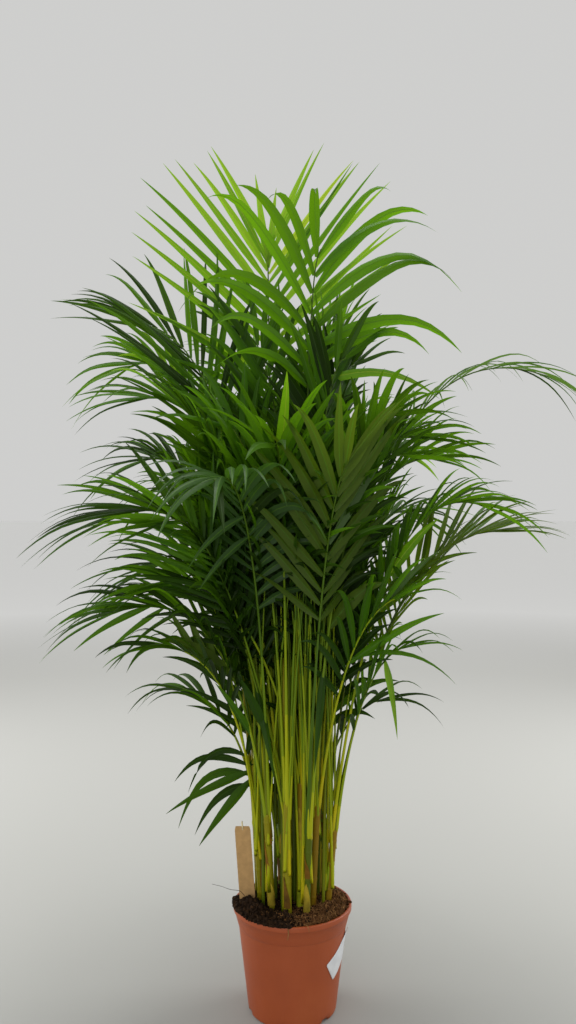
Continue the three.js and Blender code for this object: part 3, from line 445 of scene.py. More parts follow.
# Finishes. Grain is bumps laid one on another, each with its stretch up z, its scale,
# its detail and its depth in metres.
LEAF_FINISH = {"rough": 0.46, "through": 0.46, "old_through": 0.36, "gloss": 0.24, "dull": 0.14}
RIB_FINISH = {"rough": 0.5, "through": 0.3}
LEAF_SHINE = {"scale": 35, "detail": 2, "less": 0.06, "more": 0.08}
LEAF_GRAIN = (1, 60, 2, 0.0003)
STEM_GRAIN = ((0.04, 900, 2, 0.0003), (1, 120, 3, 0.0002))
POT_GRAIN = ((0.06, 60, 3, 0.0004), (1, 1400, 2, 0.00012))
SOIL_GRAIN = ((1, 420, 5, 0.0016), (1, 1500, 3, 0.0006))
FLOOR_GRAIN = (1, 90, 3, 0.0001)
STEM_FINISH = {"roughness": 0.46, "gloss": 0.2}
SOIL_FINISH = {"roughness": 0.95, "gloss": 0.1}
FLOOR_FINISH = {"roughness": 0.9, "gloss": 0.1}
PLAIN_GLOSS = 0.15
PLAIN_DETAIL = 4
PLAIN_CLOUD = {"places": (0.3, 0.7), "larger": 6}
NOISE_ROUGHNESS = 0.55
CLOUD_PLACES = (0.3, 0.55, 0.75)
POT_CLOUD = {"scale": 9, "detail": 5, "roughness": (0.42, 0.56)}
POT_COLORS = ((151, 67, 26), (161, 74, 30), (170, 84, 39))
SOIL_CLOUD = {"scale": 160, "detail": 6}
SOIL_COLORS = {
    "soil_dark": ((20, 13, 7), (42, 28, 16), (72, 50, 30)),
    "soil_brown": ((50, 31, 16), (88, 58, 31), (128, 92, 54)),
}

# Plain matt finishes: colour, roughness, scale and depth of the grain, and how much the
# colour varies.
PLAIN_FINISHES = {
    "soil_fibre": ((138, 100, 60), 0.85, 500, 0.0003, 0.25),
    "dark_root": ((30, 22, 16), 0.8, 500, 0.0002, 0.2),
    "tag_card": ((181, 145, 97), 0.85, 700, 0.0002, 0.05),
    "tag_wood": ((206, 190, 150), 0.7, 400, 0.0002, 0.1),
    "label_paper": ((214, 216, 218), 0.5, 300, 0.0001, 0.03),
    "sheath_straw": ((146, 128, 36), 0.7, 260, 0.0004, 0.22),
    "sheath_rust": ((124, 88, 22), 0.7, 260, 0.0004, 0.28),
    "sheath_brown": ((98, 70, 20), 0.75, 260, 0.0004, 0.3),
    "sheath_lime": ((126, 136, 20), 0.55, 260, 0.0003, 0.18),
}


def heading(degrees):
    """A level unit vector at an azimuth: 0 is +X and 90 is +Y."""
    angle = math.radians(degrees)
    return np.array([math.cos(angle), math.sin(angle), 0.0])


def unit(vectors):
    """Vectors along the last axis, each scaled to a length of 1."""
    return vectors / np.maximum(np.linalg.norm(vectors, axis=-1, keepdims=True), 1e-9)


def dot(one, two):
    """Products of vectors along the last axis, which keeps its place."""
    return (one * two).sum(axis=-1, keepdims=True)


def lerp(low, high, share):
    return low + (high - low) * share


def climb(value, start, over):
    """How far a value is on its way from start over a stretch, from 0 to 1."""
    return np.clip((value - start) / over, 0, 1)


def any_slot(materials, rng):
    """The number of one of the materials, by chance."""
    return int(rng.integers(0, len(materials)))


def circle(sides):
    """Angles of that many points round a circle."""
    return np.arange(sides) * TURN / sides


def round_points(radius, turns, z):
    """Points round the axis, at a radius, an angle and a height."""
    x = radius * np.cos(turns)
    return np.stack([x, radius * np.sin(turns), np.broadcast_to(z, x.shape)], axis=-1)


def linear(color):
    """An sRGB colour out of 255 as linear RGBA."""
    channels = [value / 255 for value in color]
    channels = [c / 12.92 if c <= 0.04045 else ((c + 0.055) / 1.055) ** 2.4 for c in channels]
    return (*channels, 1.0)


class Batch:
    """Points and faces of many small things, gathered for one joined mesh."""

    def __init__(self):
        self.points = []
        self.corners = []
        self.sizes = []
        self.slots = []
        self.count = 0

    def add_points(self, points):
        first = self.count
        flat = np.asarray(points, float).reshape(-1, 3)
        self.points.append(flat)
        self.count += len(flat)
        return first

    def add_faces(self, faces, slot=0):
        faces = np.asarray(faces, int)
        self.corners.append(faces.ravel())
        self.sizes.append(np.full(len(faces), faces.shape[1]))
        self.slots.append(np.broadcast_to(np.asarray(slot, int), len(faces)))

    def add_grid(self, points, slot=0, closed=False, flip=False):
        """Quads between rows of points. closed joins each row's end to its start."""
        first = self.add_points(points)
        faces = first + grid_faces(*points.shape[:2], closed)
        self.add_faces(faces[:, ::-1] if flip else faces, slot)
        return first

    def add_cap(self, first, sides, slot=0, flip=False):
        """One face over a ring of points that starts at first."""
        ring = first + np.arange(sides)
        self.add_faces([ring[::-1] if flip else ring], slot)

    def make(self, name, materials, smooth=True):
        corners = np.concatenate(self.corners)
        sizes = np.concatenate(self.sizes)
        points = np.concatenate(self.points) * MM
        mesh = bpy.data.meshes.new(name)
        mesh.vertices.add(len(points))
        mesh.vertices.foreach_set("co", points.astype(np.float32).ravel())
        mesh.loops.add(len(corners))
        mesh.loops.foreach_set("vertex_index", corners.astype(np.int32))
        mesh.polygons.add(len(sizes))
        starts = np.concatenate([[0], np.cumsum(sizes)[:-1]])
        mesh.polygons.foreach_set("loop_start", starts.astype(np.int32))
        mesh.polygons.foreach_set("material_index", np.concatenate(self.slots).astype(np.int32))
        mesh.polygons.foreach_set("use_smooth", np.full(len(sizes), smooth))
        for material in materials:
            mesh.materials.append(material)
        mesh.update(calc_edges=True)
        piece = bpy.data.objects.new(name, mesh)
        bpy.context.scene.collection.objects.link(piece)
        return piece


def grid_faces(rows, columns, closed=False):
    """Quads of a grid of points, by their numbers."""
    across = columns if closed else columns - 1
    row, column = np.meshgrid(np.arange(rows - 1), np.arange(across), indexing="ij")
    after = (column + 1) % columns
    low, high = row * columns, (row + 1) * columns
    faces = np.stack([low + column, low + after, high + after, high + column], axis=-1)
    return faces.reshape(-1, 4)


def settle(piece, slot, *nodes):
    """Joins a piece to the plant's body, for the solids it stands for."""
    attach(piece, "root")
    if nodes:
        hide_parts(*nodes)


# Materials.
SOCKETS = {
    "color": "Base Color",
    "roughness": "Roughness",
    "gloss": "Specular IOR Level",
}


class Shader:
    """A material whose nodes are added one by one."""

    def __init__(self, name):
        self.material = bpy.data.materials.new(name)
        self.material.use_nodes = True
        self.tree = self.material.node_tree
        self.surface = self.tree.nodes["Principled BSDF"]

    def feed(self, node, inputs):
        """Links or sets each input of a node, by whether it is an output or a value."""
        for key, value in inputs.items():
            if isinstance(value, bpy.types.NodeSocket):
                self.tree.links.new(value, node.inputs[key])
            else:
                node.inputs[key].default_value = value

    def node(self, kind, result, inputs, **settings):
        """The named output of a new node."""
        node = self.tree.nodes.new(f"ShaderNode{kind}")
        for key, value in settings.items():
            setattr(node, key, value)
        self.feed(node, inputs)
        return node.outputs[result]

    def set(self, **values):
        self.feed(self.surface, {SOCKETS[key]: value for key, value in values.items()})

    def place(self, stretch=1):
        """Object coordinates in metres, stretched up z."""
        inputs = {"Vector": self.node("TexCoord", "Object", {}), "Scale": (1, 1, stretch)}
        return self.node("Mapping", "Vector", inputs)

    def noise(self, vector, scale, detail):
        inputs = {"Vector": vector, "Scale": scale, "Detail": detail}
        return self.node("TexNoise", "Fac", {**inputs, "Roughness": NOISE_ROUGHNESS})

    def ramp(self, factor, places, colors):
        """Colours at places along the factor, as sRGB out of 255."""
        color = self.node("ValToRGB", "Color", {"Fac": factor})
        elements = color.node.color_ramp.elements
        while len(elements) < len(colors):
            elements.new(0.5)
        for element, place, value in zip(elements, places, colors):
            element.position = place
            element.color = linear(value)
        return color

    def spread(self, factor, low, high, start=0.3, end=0.7):
        """factor from start to end, mapped to low to high."""
        inputs = {"From Min": start, "From Max": end, "To Min": low, "To Max": high}
        return self.node("MapRange", "Result", {"Value": factor, **inputs})

    def grain(self, *layers):
        """Bumps laid one on another."""
        below = {}
        for stretch, scale, detail, depth in layers:
            height = self.noise(self.place(stretch), scale, detail)
            inputs = {"Height": height, "Distance": depth, **below}
            below = {"Normal": self.node("Bump", "Normal", inputs)}
        self.feed(self.surface, below)

    def glow_through(self, color, share):
        """Mixes in light that comes through the surface."""
        through = self.node("BsdfTranslucent", "BSDF", {"Color": linear(color)})
        inputs = {"Fac": share, 1: self.surface.outputs["BSDF"], 2: through}
        mix = self.node("MixShader", "Shader", inputs)
        self.feed(self.tree.nodes["Material Output"], {"Surface": mix})


def brighter(color, share):
    return tuple(min(255, value * share) for value in color)


def leaf_material(name, tint, roughness, through, gloss=LEAF_FINISH["gloss"]):
    color, glow = tint
    shader = Shader(name)
    shader.set(color=linear(color), roughness=roughness, gloss=gloss)
    shader.grain(LEAF_GRAIN)
    shine = shader.noise(shader.place(), LEAF_SHINE["scale"], LEAF_SHINE["detail"])
    low, high = roughness - LEAF_SHINE["less"], roughness + LEAF_SHINE["more"]
    shader.set(roughness=shader.spread(shine, low, high))
    shader.glow_through(glow, through)
    return shader.material


def leaf_materials():
    """The blades' tints, then the ribs'."""
    slots = []
    for i, tint in enumerate(LEAF_TINTS):
        through = LEAF_FINISH["through" if i < OLD_LEAF_TINT else "old_through"]
        gloss = LEAF_FINISH["dull" if DULL_LEAF_TINT <= i <= DEEP_LEAF_TINT else "gloss"]
        slots.append(leaf_material(f"leaf_{i + 1}", tint, LEAF_FINISH["rough"], through, gloss))
    for i, tint in enumerate(RIB_TINTS):
        slots.append(leaf_material(f"leaf_rib_{i + 1}", tint, *RIB_FINISH.values()))
    return slots


def stem_materials(kind, tints):
    materials = []
    for i, color in enumerate(tints):
        shader = Shader(f"{kind}_{i + 1}")
        shader.set(color=linear(color), **STEM_FINISH)
        shader.grain(*STEM_GRAIN)
        materials.append(shader.material)
    return materials


def pot_material():
    shader = Shader("pot_plastic")
    cloud = shader.noise(shader.place(), POT_CLOUD["scale"], POT_CLOUD["detail"])
    shader.set(color=shader.ramp(cloud, CLOUD_PLACES, POT_COLORS))
    shader.set(roughness=shader.spread(cloud, *POT_CLOUD["roughness"]))
    shader.grain(*POT_GRAIN)
    return shader.material


def soil_materials():
    materials = []
    for name, colors in SOIL_COLORS.items():
        shader = Shader(name)
        cloud = shader.noise(shader.place(), SOIL_CLOUD["scale"], SOIL_CLOUD["detail"])
        shader.set(color=shader.ramp(cloud, CLOUD_PLACES, colors), **SOIL_FINISH)
        shader.grain(*SOIL_GRAIN)
        materials.append(shader.material)
    return materials


def plain_material(name, color, roughness, grain_scale, grain_depth, varies):
    """A matt surface whose colour varies a little and which has a fine grain."""
    shader = Shader(name)
    cloud = shader.noise(shader.place(), grain_scale / PLAIN_CLOUD["larger"], PLAIN_DETAIL)
    colors = (brighter(color, 1 - varies), brighter(color, 1 + varies))
    color = shader.ramp(cloud, PLAIN_CLOUD["places"], colors)
    shader.set(color=color, roughness=roughness, gloss=PLAIN_GLOSS)
    shader.grain((1, grain_scale, PLAIN_DETAIL, grain_depth))
    return shader.material


# Pot.
def body_radius(z):
    return lerp(POT_BASE_RADIUS, POT_SHOULDER[0], z / POT_SHOULDER[1])


def steps_from(corner, steps):
    """Points of the outline, by how far out and up each is from a corner."""
    return [(corner[0] + out, corner[1] + up) for out, up in steps]


def arc(radius, middle, start_deg, end_deg, count):
    """Points of a round corner."""
    angles = np.radians(np.linspace(start_deg, end_deg, count))
    return steps_from(middle, [(radius * math.cos(a), radius * math.sin(a)) for a in angles])


def pot_profile():
    """The outline from the middle of the base, up, over the lip and down inside."""
    collar_radius, lip_foot = POT_COLLAR
    foot, top, inside = POT_LIP_ROUNDS.values()
    wall = collar_radius - POT_WALL
    under, lip = POT_LIP_UNDER
    corner = (POT_BASE_RADIUS - POT_BASE_ROUND + POT_BASE_OUT, POT_BASE_ROUND)
    body = np.linspace(*POT_BODY_WITHIN, POT_BODY_RINGS)
    return np.array([
        *((radius, POT_BASE_RISE) for radius in POT_BASE_RINGS),
        (POT_FOOT_RING[1], 0),
        *arc(POT_BASE_ROUND, corner, -90, 0, 7),
        *((body_radius(z), z) for z in body),
        *steps_from(POT_SHOULDER, POT_SHOULDER_STEPS),
        *steps_from(POT_COLLAR, POT_COLLAR_STEPS),
        (POT_RIM_RADIUS - under, lip_foot + lip),
        *arc(foot, (POT_RIM_RADIUS - foot, lip_foot + foot + lip), -60, 0, 4),
        *arc(top, (POT_RIM_RADIUS - top, POT_HEIGHT - top), 0, 90, 6),
        *arc(inside, (wall + inside, POT_HEIGHT - inside), 90, 180, 4),
        (wall - inside, lip_foot),
        (POT_SHOULDER[0] - POT_WALL, POT_SHOULDER[1]),
    ])


def make_pot(material):
    """A fine lathe, pushed in at its lower edge where the drain notches are."""
    radius, z = np.hsplit(pot_profile(), 2)
    turns = np.radians(np.arange(POT_SIDES) * 360 / POT_SIDES)
    wobble = POT_WOBBLE["by"] * np.sin(POT_WOBBLE["count"] * turns + POT_WOBBLE["turned"])
    spread = radius + wobble * np.clip(z / POT_HEIGHT, 0, 1)
    height = z
    for i in range(NOTCH["count"]):
        middle = math.radians(NOTCH["first"] + i * 360 / NOTCH["count"])
        away = np.abs((turns - middle + math.pi) % TURN - math.pi)
        across = np.clip(1 - (away / math.radians(NOTCH["half"])) ** 4, 0, 1)
        edge = np.clip(1 - z / NOTCH["height"], 0, 1) * (radius > NOTCH_OUTSIDE)
        spread = spread - NOTCH["depth"] * across * edge
        height = height + NOTCH["lift"] * across * edge
    batch = Batch()
    batch.add_grid(round_points(spread, turns, height), closed=True)
    settle(batch.make("pot_shell", [material]), "pot", "pot")


# Soil.
def soil_height(x, y, waves):
    """Height of the soil's surface: its flat top, the heaps and the crumbs' bumps."""
    z = SOIL_TOP + SOIL_RISE - SOIL_FALL * climb(np.hypot(x, y), *SOIL_FALL_OVER) ** 2
    for middle_x, middle_y, radius, rise, _ in HEAPS:
        away = np.hypot(x - middle_x, y - middle_y) / radius
        z = z + rise * np.exp(-HEAP_STEEP * away**2)
    for along_x, along_y, turn, depth in waves:
        z = z + depth * np.sin(along_x * x + along_y * y + turn)
    return z


def soil_waves(rng):
    """How fast each wave runs along x and along y, where it starts and its depth."""
    waves = []
    for length, depth, count in SOIL_WAVES:
        for _ in range(count):
            angle = rng.uniform(0, TURN)
            pitch = TURN / (length * rng.uniform(*WAVE_VARIES))
            turn = rng.uniform(0, TURN)
            waves.append((pitch * math.cos(angle), pitch * math.sin(angle), turn, depth))
    return waves


def make_soil_top(materials, waves, rng):
    turns = np.radians(np.arange(SOIL_SIDES) * 360 / SOIL_SIDES)
    radius = (np.linspace(0.02, 1, SOIL_RINGS) * SOIL_RADIUS)[:, None]
    x = radius * np.cos(turns)
    z = soil_height(x, radius * np.sin(turns), waves)
    edge = np.clip((radius - SOIL_RADIUS + SOIL_EDGE["over"]) / SOIL_EDGE["over"], 0, 1)
    z = z - edge * np.maximum(0, z - SOIL_EDGE["most"])
    middle = x[:-1].ravel()
    middle = middle + rng.normal(0, BROWN_SOIL["varies"], len(middle))
    batch = Batch()
    points = round_points(radius, turns, z)
    first = batch.add_grid(points, middle > BROWN_SOIL["from"], closed=True)
    batch.add_cap(first, SOIL_SIDES, flip=True)
    settle(batch.make("soil_top", materials), "soil", "soil")


def round_lump():
    """Points and triangles of a small ball that crumbs are made from."""
    turn = (1 + math.sqrt(5)) / 2
    points = np.array([
        (-1, turn, 0), (1, turn, 0), (-1, -turn, 0), (1, -turn, 0),
        (0, -1, turn), (0, 1, turn), (0, -1, -turn), (0, 1, -turn),
        (turn, 0, -1), (turn, 0, 1), (-turn, 0, -1), (-turn, 0, 1),
    ], float)
    faces = np.array([
        (0, 11, 5), (0, 5, 1), (0, 1, 7), (0, 7, 10), (0, 10, 11),
        (1, 5, 9), (5, 11, 4), (11, 10, 2), (10, 7, 6), (7, 1, 8),
        (3, 9, 4), (3, 4, 2), (3, 2, 6), (3, 6, 8), (3, 8, 9),
        (4, 9, 5), (2, 4, 11), (6, 2, 10), (8, 6, 7), (9, 8, 1),
    ])
    edges = {}
    finer = []
    for a, b, c in faces:
        middles = []
        for one, two in ((a, b), (b, c), (c, a)):
            key = (min(one, two), max(one, two))
            if key not in edges:
                edges[key] = len(points)
                points = np.vstack([points, (points[one] + points[two]) / 2])
            middles.append(edges[key])
        ab, bc, ca = middles
        finer += [(a, ab, ca), (b, bc, ab), (c, ca, bc), (ab, bc, ca)]
    return unit(points), np.array(finer)


LUMP, LUMP_FACES = round_lump()


def lump(size, rng):
    """Points of one crumb, squeezed and roughened."""
    squeeze = rng.uniform(*LUMP_SQUEEZE, 3)
    rough = 1 + rng.normal(0, LUMP_ROUGH, (len(LUMP), 1))
    return LUMP * rough * squeeze * size


def somewhere(radius, rng):
    """A place within a circle, all parts of it as likely."""
    out = radius * math.sqrt(rng.random())
    turn = rng.uniform(0, TURN)
    return out * math.cos(turn), out * math.sin(turn)


def make_crumbs(materials, waves, rng):
    """Lumps of soil on the surface, more of them on the heaps, and smaller ones on the right.
    """
    batch = Batch()
    shares = [heap[4] for heap in HEAPS]
    made = 0
    while made < CRUMB_COUNT:
        if rng.random() < CRUMB_HEAPED["share"]:
            heap = HEAPS[rng.choice(len(HEAPS), p=shares)]
            x, y = rng.normal(heap[:2], CRUMB_HEAPED["spread"] * heap[2])
        else:
            x, y = somewhere(SOIL_RADIUS, rng)
        out = math.hypot(x, y)
        if out > CRUMBS_WITHIN:
            continue
        is_small = rng.random() < CRUMB_SIZES["small_share"]
        size = rng.uniform(*CRUMB_SIZES["small" if is_small else "large"])
        if x > CRUMB_RIGHT["from"]:
            size *= CRUMB_RIGHT["size"]
        points = lump(size, rng)
        z = max(soil_height(x, y, waves), POT_HEIGHT if out > SOIL_RADIUS - 1 else 0)
        first = batch.add_points(points + (x, y, z + CRUMB_SEAT["top"] * size))
        is_brown = x + rng.normal(0, BROWN_CRUMBS["varies"]) > BROWN_CRUMBS["from"]
        batch.add_faces(LUMP_FACES + first, is_brown)
        made += 1
    settle(batch.make("soil_crumbs", materials), "soil")


def rings_round(line, side, face, radii, turns, groove=1):
    """Rings of points round a line. side and face lie across it."""
    ring = side[:, None] * np.cos(turns)[:, None]
    ring = ring + face[:, None] * (np.sin(turns) * groove)[:, None]
    return line[:, None] + ring * radii[:, None, None]


def add_tube(batch, line, radii, sides, slot=0):
    """A closed round tube along a line of points, with a radius at each."""
    along = unit(np.gradient(line, axis=0))
    guide = np.where(np.abs(along[:, 2:]) > 0.9, np.array([1.0, 0, 0]), UP)
    side = unit(np.cross(along, guide))
    points = rings_round(line, side, np.cross(side, along), radii, circle(sides))
    first = batch.add_grid(points, slot, closed=True, flip=True)
    batch.add_cap(first, sides, slot)
    batch.add_cap(first + (len(line) - 1) * sides, sides, slot, flip=True)


def make_rim_crumbs(materials, rng):
    """Crumbs that have rolled onto the rim at the left front, piled lower away from its middle.
    """
    batch = Batch()
    low, high = RIM_CRUMB_AZIMUTHS
    for _ in range(RIM_CRUMB_COUNT):
        azimuth = rng.uniform(low, high)
        out = rng.uniform(*RIM_CRUMB_OUT)
        size = lerp(*RIM_CRUMB_SIZES, rng.random() ** 2)
        points = lump(size, rng)
        near = 1 - abs(azimuth - 0.5 * (low + high)) / (0.5 * (high - low))
        inwards = np.clip((POT_RIM_RADIUS + 1 - out) / (POT_RIM_RADIUS - SOIL_RADIUS), 0, 1)
        pile = rng.random() * RIM_CRUMB_PILE["high"] * min(1, RIM_CRUMB_PILE["wide"] * near)
        level = POT_HEIGHT + pile * inwards + CRUMB_SEAT["rim"] * size
        first = batch.add_points(points + (heading(azimuth) * out + UP * level))
        batch.add_faces(LUMP_FACES + first)
    settle(batch.make("soil_rim_crumbs", materials), "soil")


def make_fibres(material, waves, rng):
    """Brown fibres that lie in the soil, mostly on the right."""
    batch = Batch()
    steps = np.linspace(0, 1, FIBRE_STEPS)
    for _ in range(FIBRE_COUNT):
        x, y = somewhere(FIBRE_OUT["foot"], rng)
        if x < rng.normal(0, FIBRE_LEFT_SPREAD):
            continue
        way = rng.uniform(0, TURN)
        length = rng.uniform(*FIBRE_LENGTH)
        angle = way + rng.uniform(-FIBRE_CURL, FIBRE_CURL) * steps
        x = x + np.cumsum(np.cos(angle)) * length / FIBRE_STEPS
        y = y + np.cumsum(np.sin(angle)) * length / FIBRE_STEPS
        inside = np.minimum(1, FIBRE_OUT["end"] / np.maximum(np.hypot(x, y), 1))
        x, y = x * inside, y * inside
        rise = rng.uniform(*FIBRE_RISE) * np.sin(math.pi * steps)
        line = np.stack([x, y, soil_height(x, y, waves) + rise], axis=-1)
        add_tube(batch, line, np.full(FIBRE_STEPS, rng.uniform(*FIBRE_RADIUS)), FIBRE_SIDES)
    settle(batch.make("soil_fibres", [material]), "soil")


def smooth_line(stops, steps):
    """Points of a smooth curve that follows a few stops."""
    stops = np.asarray(stops, float)
    place = np.concatenate([[0], np.cumsum(np.linalg.norm(np.diff(stops, axis=0), axis=1))])
    wanted = np.linspace(0, place[-1], steps)
    knots = np.stack([np.interp(wanted, place, stops[:, i]) for i in range(3)], axis=-1)
    for _ in range(ROOT_SMOOTHINGS):
        knots[1:-1] = (knots[:-2] + 2 * knots[1:-1] + knots[2:]) / 4
    return knots


def make_roots(materials):
    batch = Batch()
    for stops, steps, radii, sides, slot in ROOTS:
        add_tube(batch, smooth_line(stops, steps), np.linspace(*radii, steps), sides, slot)
    settle(batch.make("loose_roots", materials), "soil")


# Tag and label.
def tag_point(across, depth, z):
    """A point of the card, which leans and bows a little."""
    share = (z - SOIL_TOP) / (TAG_TOP_Z - SOIL_TOP)
    bow = TAG_BOW["up"] * np.sin(math.pi * np.clip(share, 0, 1))
    bow = bow + TAG_BOW["across"] * (across / TAG_WIDTH) ** 2
    x = TAG_FOOT[0] + across + TAG_LEAN * share
    return np.stack([x, TAG_FOOT[1] + depth - bow, z], axis=-1)


def make_tag(card, wood):
    rows, columns = TAG_GRID
    batch = Batch()
    heights = np.linspace(SOIL_TOP - 1, TAG_TOP_Z, rows)
    near_top = climb(heights, TAG_TOP_Z - TAG_CORNER, TAG_CORNER)
    half = TAG_WIDTH / 2 - near_top**2 * TAG_CORNER
    across = half[:, None] * np.linspace(-1, 1, columns)
    z = np.broadcast_to(heights[:, None], across.shape)
    front = batch.add_grid(tag_point(across, -TAG_THICK / 2, z))
    back = batch.add_grid(tag_point(across, TAG_THICK / 2, z), flip=True)
    left = np.arange(rows) * columns
    top = (rows - 1) * columns + np.arange(columns)
    for edge, way in ((left, 1), (left + columns - 1, -1), (top, 1)):
        low, high = edge[:-1], edge[1:]
        faces = np.stack([front + low, front + high, back + high, back + low], -1)
        batch.add_faces(faces[:, ::way])
    settle(batch.make("card_plate", [card], smooth=False), "card_tag", "card_tag")

    share = np.linspace(0, 1, STICK_STEPS)
    z = SOIL_TOP + STICK_FOOT + (TAG_TOP_Z + STICK_RISE - SOIL_TOP - STICK_FOOT) * share
    inside = np.minimum(share - STICK_BEHIND["from"], STICK_BEHIND["to"] - share)
    depth = STICK_BEHIND["by"] * np.clip(inside / STICK_BEHIND["over"], -1, 1)
    bow = TAG_BOW["up"] * np.sin(math.pi * share)
    x = TAG_FOOT[0] + TAG_LEAN * (z - SOIL_TOP) / (TAG_TOP_Z - SOIL_TOP)
    radii = np.full(STICK_STEPS, STICK_RADIUS)
    radii[-1] = STICK_END * STICK_RADIUS
    stick = Batch()
    add_tube(stick, np.stack([x, TAG_FOOT[1] - bow + depth, z], axis=-1), radii, STICK_SIDES)
    settle(stick.make("card_stick", [wood]), "card_tag")


def make_label(material):
    """The label on the pot, with round corners and one corner a little lifted."""
    rows, columns = LABEL_GRID
    slant = math.radians(LABEL_SLANT_DEG)
    along, across = np.meshgrid(
        np.linspace(0, LABEL_LENGTH, columns), np.linspace(0, LABEL_WIDTH, rows)
    )
    corner = LABEL_CORNER_ROUND
    near_side = np.clip(corner - np.minimum(along, LABEL_LENGTH - along), 0, corner)
    inset = corner - np.sqrt(np.maximum(corner**2 - near_side**2, 0))
    across = inset + across * (LABEL_WIDTH - 2 * inset) / LABEL_WIDTH
    arc_length = along * math.cos(slant) - across * math.sin(slant)
    z = LABEL_CORNER_Z + along * math.sin(slant) + across * math.cos(slant)
    by, start, side = LABEL_LIFT.values()
    lift = by * climb(along, start, LABEL_LENGTH - start) ** 2
    lift = lift * climb(across, side, LABEL_WIDTH - side) ** 1.5
    wave = LABEL_WAVE["depth"] * np.sin(along / LABEL_WAVE["along"])
    wave = wave * np.sin(across / LABEL_WAVE["across"] + 1)
    radius = body_radius(z)
    angle = math.radians(LABEL_CORNER_DEG) + arc_length / radius
    batch = Batch()
    inner, outer = (
        batch.add_points(round_points(radius + raised + lift + wave + LABEL_OFF, angle, z))
        for raised in (LABEL_GAP, LABEL_GAP + LABEL_THICK)
    )
    faces = grid_faces(rows, columns)
    batch.add_faces(faces + outer)
    batch.add_faces((faces + inner)[:, ::-1])
    rim = np.concatenate([
        np.arange(columns),
        np.arange(1, rows) * columns + columns - 1,
        (rows - 1) * columns + np.arange(columns - 2, -1, -1),
        np.arange(rows - 2, 0, -1) * columns,
    ])
    after = np.roll(rim, -1)
    batch.add_faces(np.stack([inner + rim, inner + after, outer + after, outer + rim], -1))
    settle(batch.make("label_sheet", [material]), "pot_label", "pot_label")


# Canes.
def cane_ends():
    """Foot and tip of each cane with their radii, read from its solid."""
    canes = []
    for name in sorted(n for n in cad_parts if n.startswith("cane_")):
        points = np.array([vertex.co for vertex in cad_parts[name].data.vertices]) / MM
        cane = {"name": name}
        for end, z in (("foot", points[:, 2].min()), ("tip", points[:, 2].max())):
            level = points[np.abs(points[:, 2] - z) < 0.01]
            cane[end] = (level.min(0) + level.max(0)) / 2
            cane[f"{end}_radius"] = (level[:, 0].max() - level[:, 0].min()) / 2
        cane["height"] = cane["tip"][2] - cane["foot"][2]
        cane["even"] = cane["foot_radius"] / CANE_FLARE["by"]
        canes.append(cane)
    return canes


CANES = cane_ends()


def cane_radius(cane, share, rng):
    """Radius up a cane: flared at its foot and swollen a little at each ring."""
    height, even = cane["height"], cane["even"]
    flare = (cane["foot_radius"] - even) * np.exp(-share * height / CANE_FLARE["over"])
    radius = even + flare + (cane["tip_radius"] - even) * climb(share, *CANE_TOP_OVER)
    mark = rng.uniform(*CANE_RINGS["first"])
    while mark < height - CANE_RINGS["end"]:
        away = share * height - mark
        radius = radius + RING_BULGE["by"] * np.exp(-((away / RING_BULGE["half"]) ** 2))
        radius = radius - RING_DIP["by"] * np.exp(-((away - RING_DIP["above"]) ** 2))
        mark += rng.uniform(*CANE_RINGS["apart"])
    close = climb(share, *CANE_CLOSE_OVER)
    return radius * np.sqrt(np.maximum(1 - CANE_CLOSE["by"] * close**2, CANE_CLOSE["least"]))


def make_canes(materials, rng):
    batch = Batch()
    rings, sides = CANE_GRID
    turns = circle(sides)
    for cane in CANES:
        share = np.linspace(0, 1, rings)
        line = lerp(cane["foot"], cane["tip"], share[:, None])
        line[0, 2] -= CANE_SUNK
        radius = cane_radius(cane, share, rng)[:, None]
        turned = rng.uniform(0, CANE_RIBS["turned_most"])
        ribs = np.sin(CANE_RIBS["count"] * turns + turned)
        spread = radius * (1 + CANE_RIBS["depth"] * ribs)
        points = round_points(spread, turns, 0) + line[:, None]
        tint = any_slot(materials, rng)
        first = batch.add_grid(points, tint, closed=True)
        batch.add_cap(first + (rings - 1) * sides, sides, tint)
    names = [cane["name"] for cane in CANES]
    settle(batch.make("cane_bark", materials), "canes", *names)


def make_shoots(materials, rng):
    """Thin canes that lean outwards between the others, and a spear on each cane."""
    batch = Batch()
    steps = np.linspace(0, 1, SHOOT_STEPS)
    for _ in range(SHOOT_COUNT):
        out = math.sqrt(rng.random())
        foot = heading(rng.uniform(0, 360)) * out * (*SHOOT_SPREAD, 0)
        top = rng.uniform(*SHOOT_TOP)
        lean = rng.uniform(*SHOOT_LEAN) * (top - SOIL_TOP) / SHOOT_LEAN_OVER
        bow = rng.uniform(*SHOOT_BOW)
        line = foot * (1 + lean * steps[:, None] ** bow)
        line = line + UP * lerp(SOIL_TOP - 2, top, steps)[:, None]
        radii = rng.uniform(*SHOOT_RADIUS) * (1 - SHOOT_TAPER["by"] * steps)
        radii = radii * np.minimum(1, SHOOT_TAPER["over"] * (1 - steps) + SHOOT_TAPER["end"])
        add_tube(batch, line, radii, SHOOT_SIDES, any_slot(materials, rng))
    for cane in CANES:
        way = cane["tip"] - cane["foot"]
        low = lerp(cane["foot"], cane["tip"], SPEAR["from"])
        line = low + way / way[2] * (rng.uniform(*SPEAR_RISE) * steps)[:, None]
        radii = lerp(SPEAR["foot"] * cane["tip_radius"], SPEAR["end"], steps ** SPEAR["taper"])
        add_tube(batch, line, radii, SPEAR["sides"], any_slot(materials, rng))
    settle(batch.make("cane_shoots", materials), "canes")


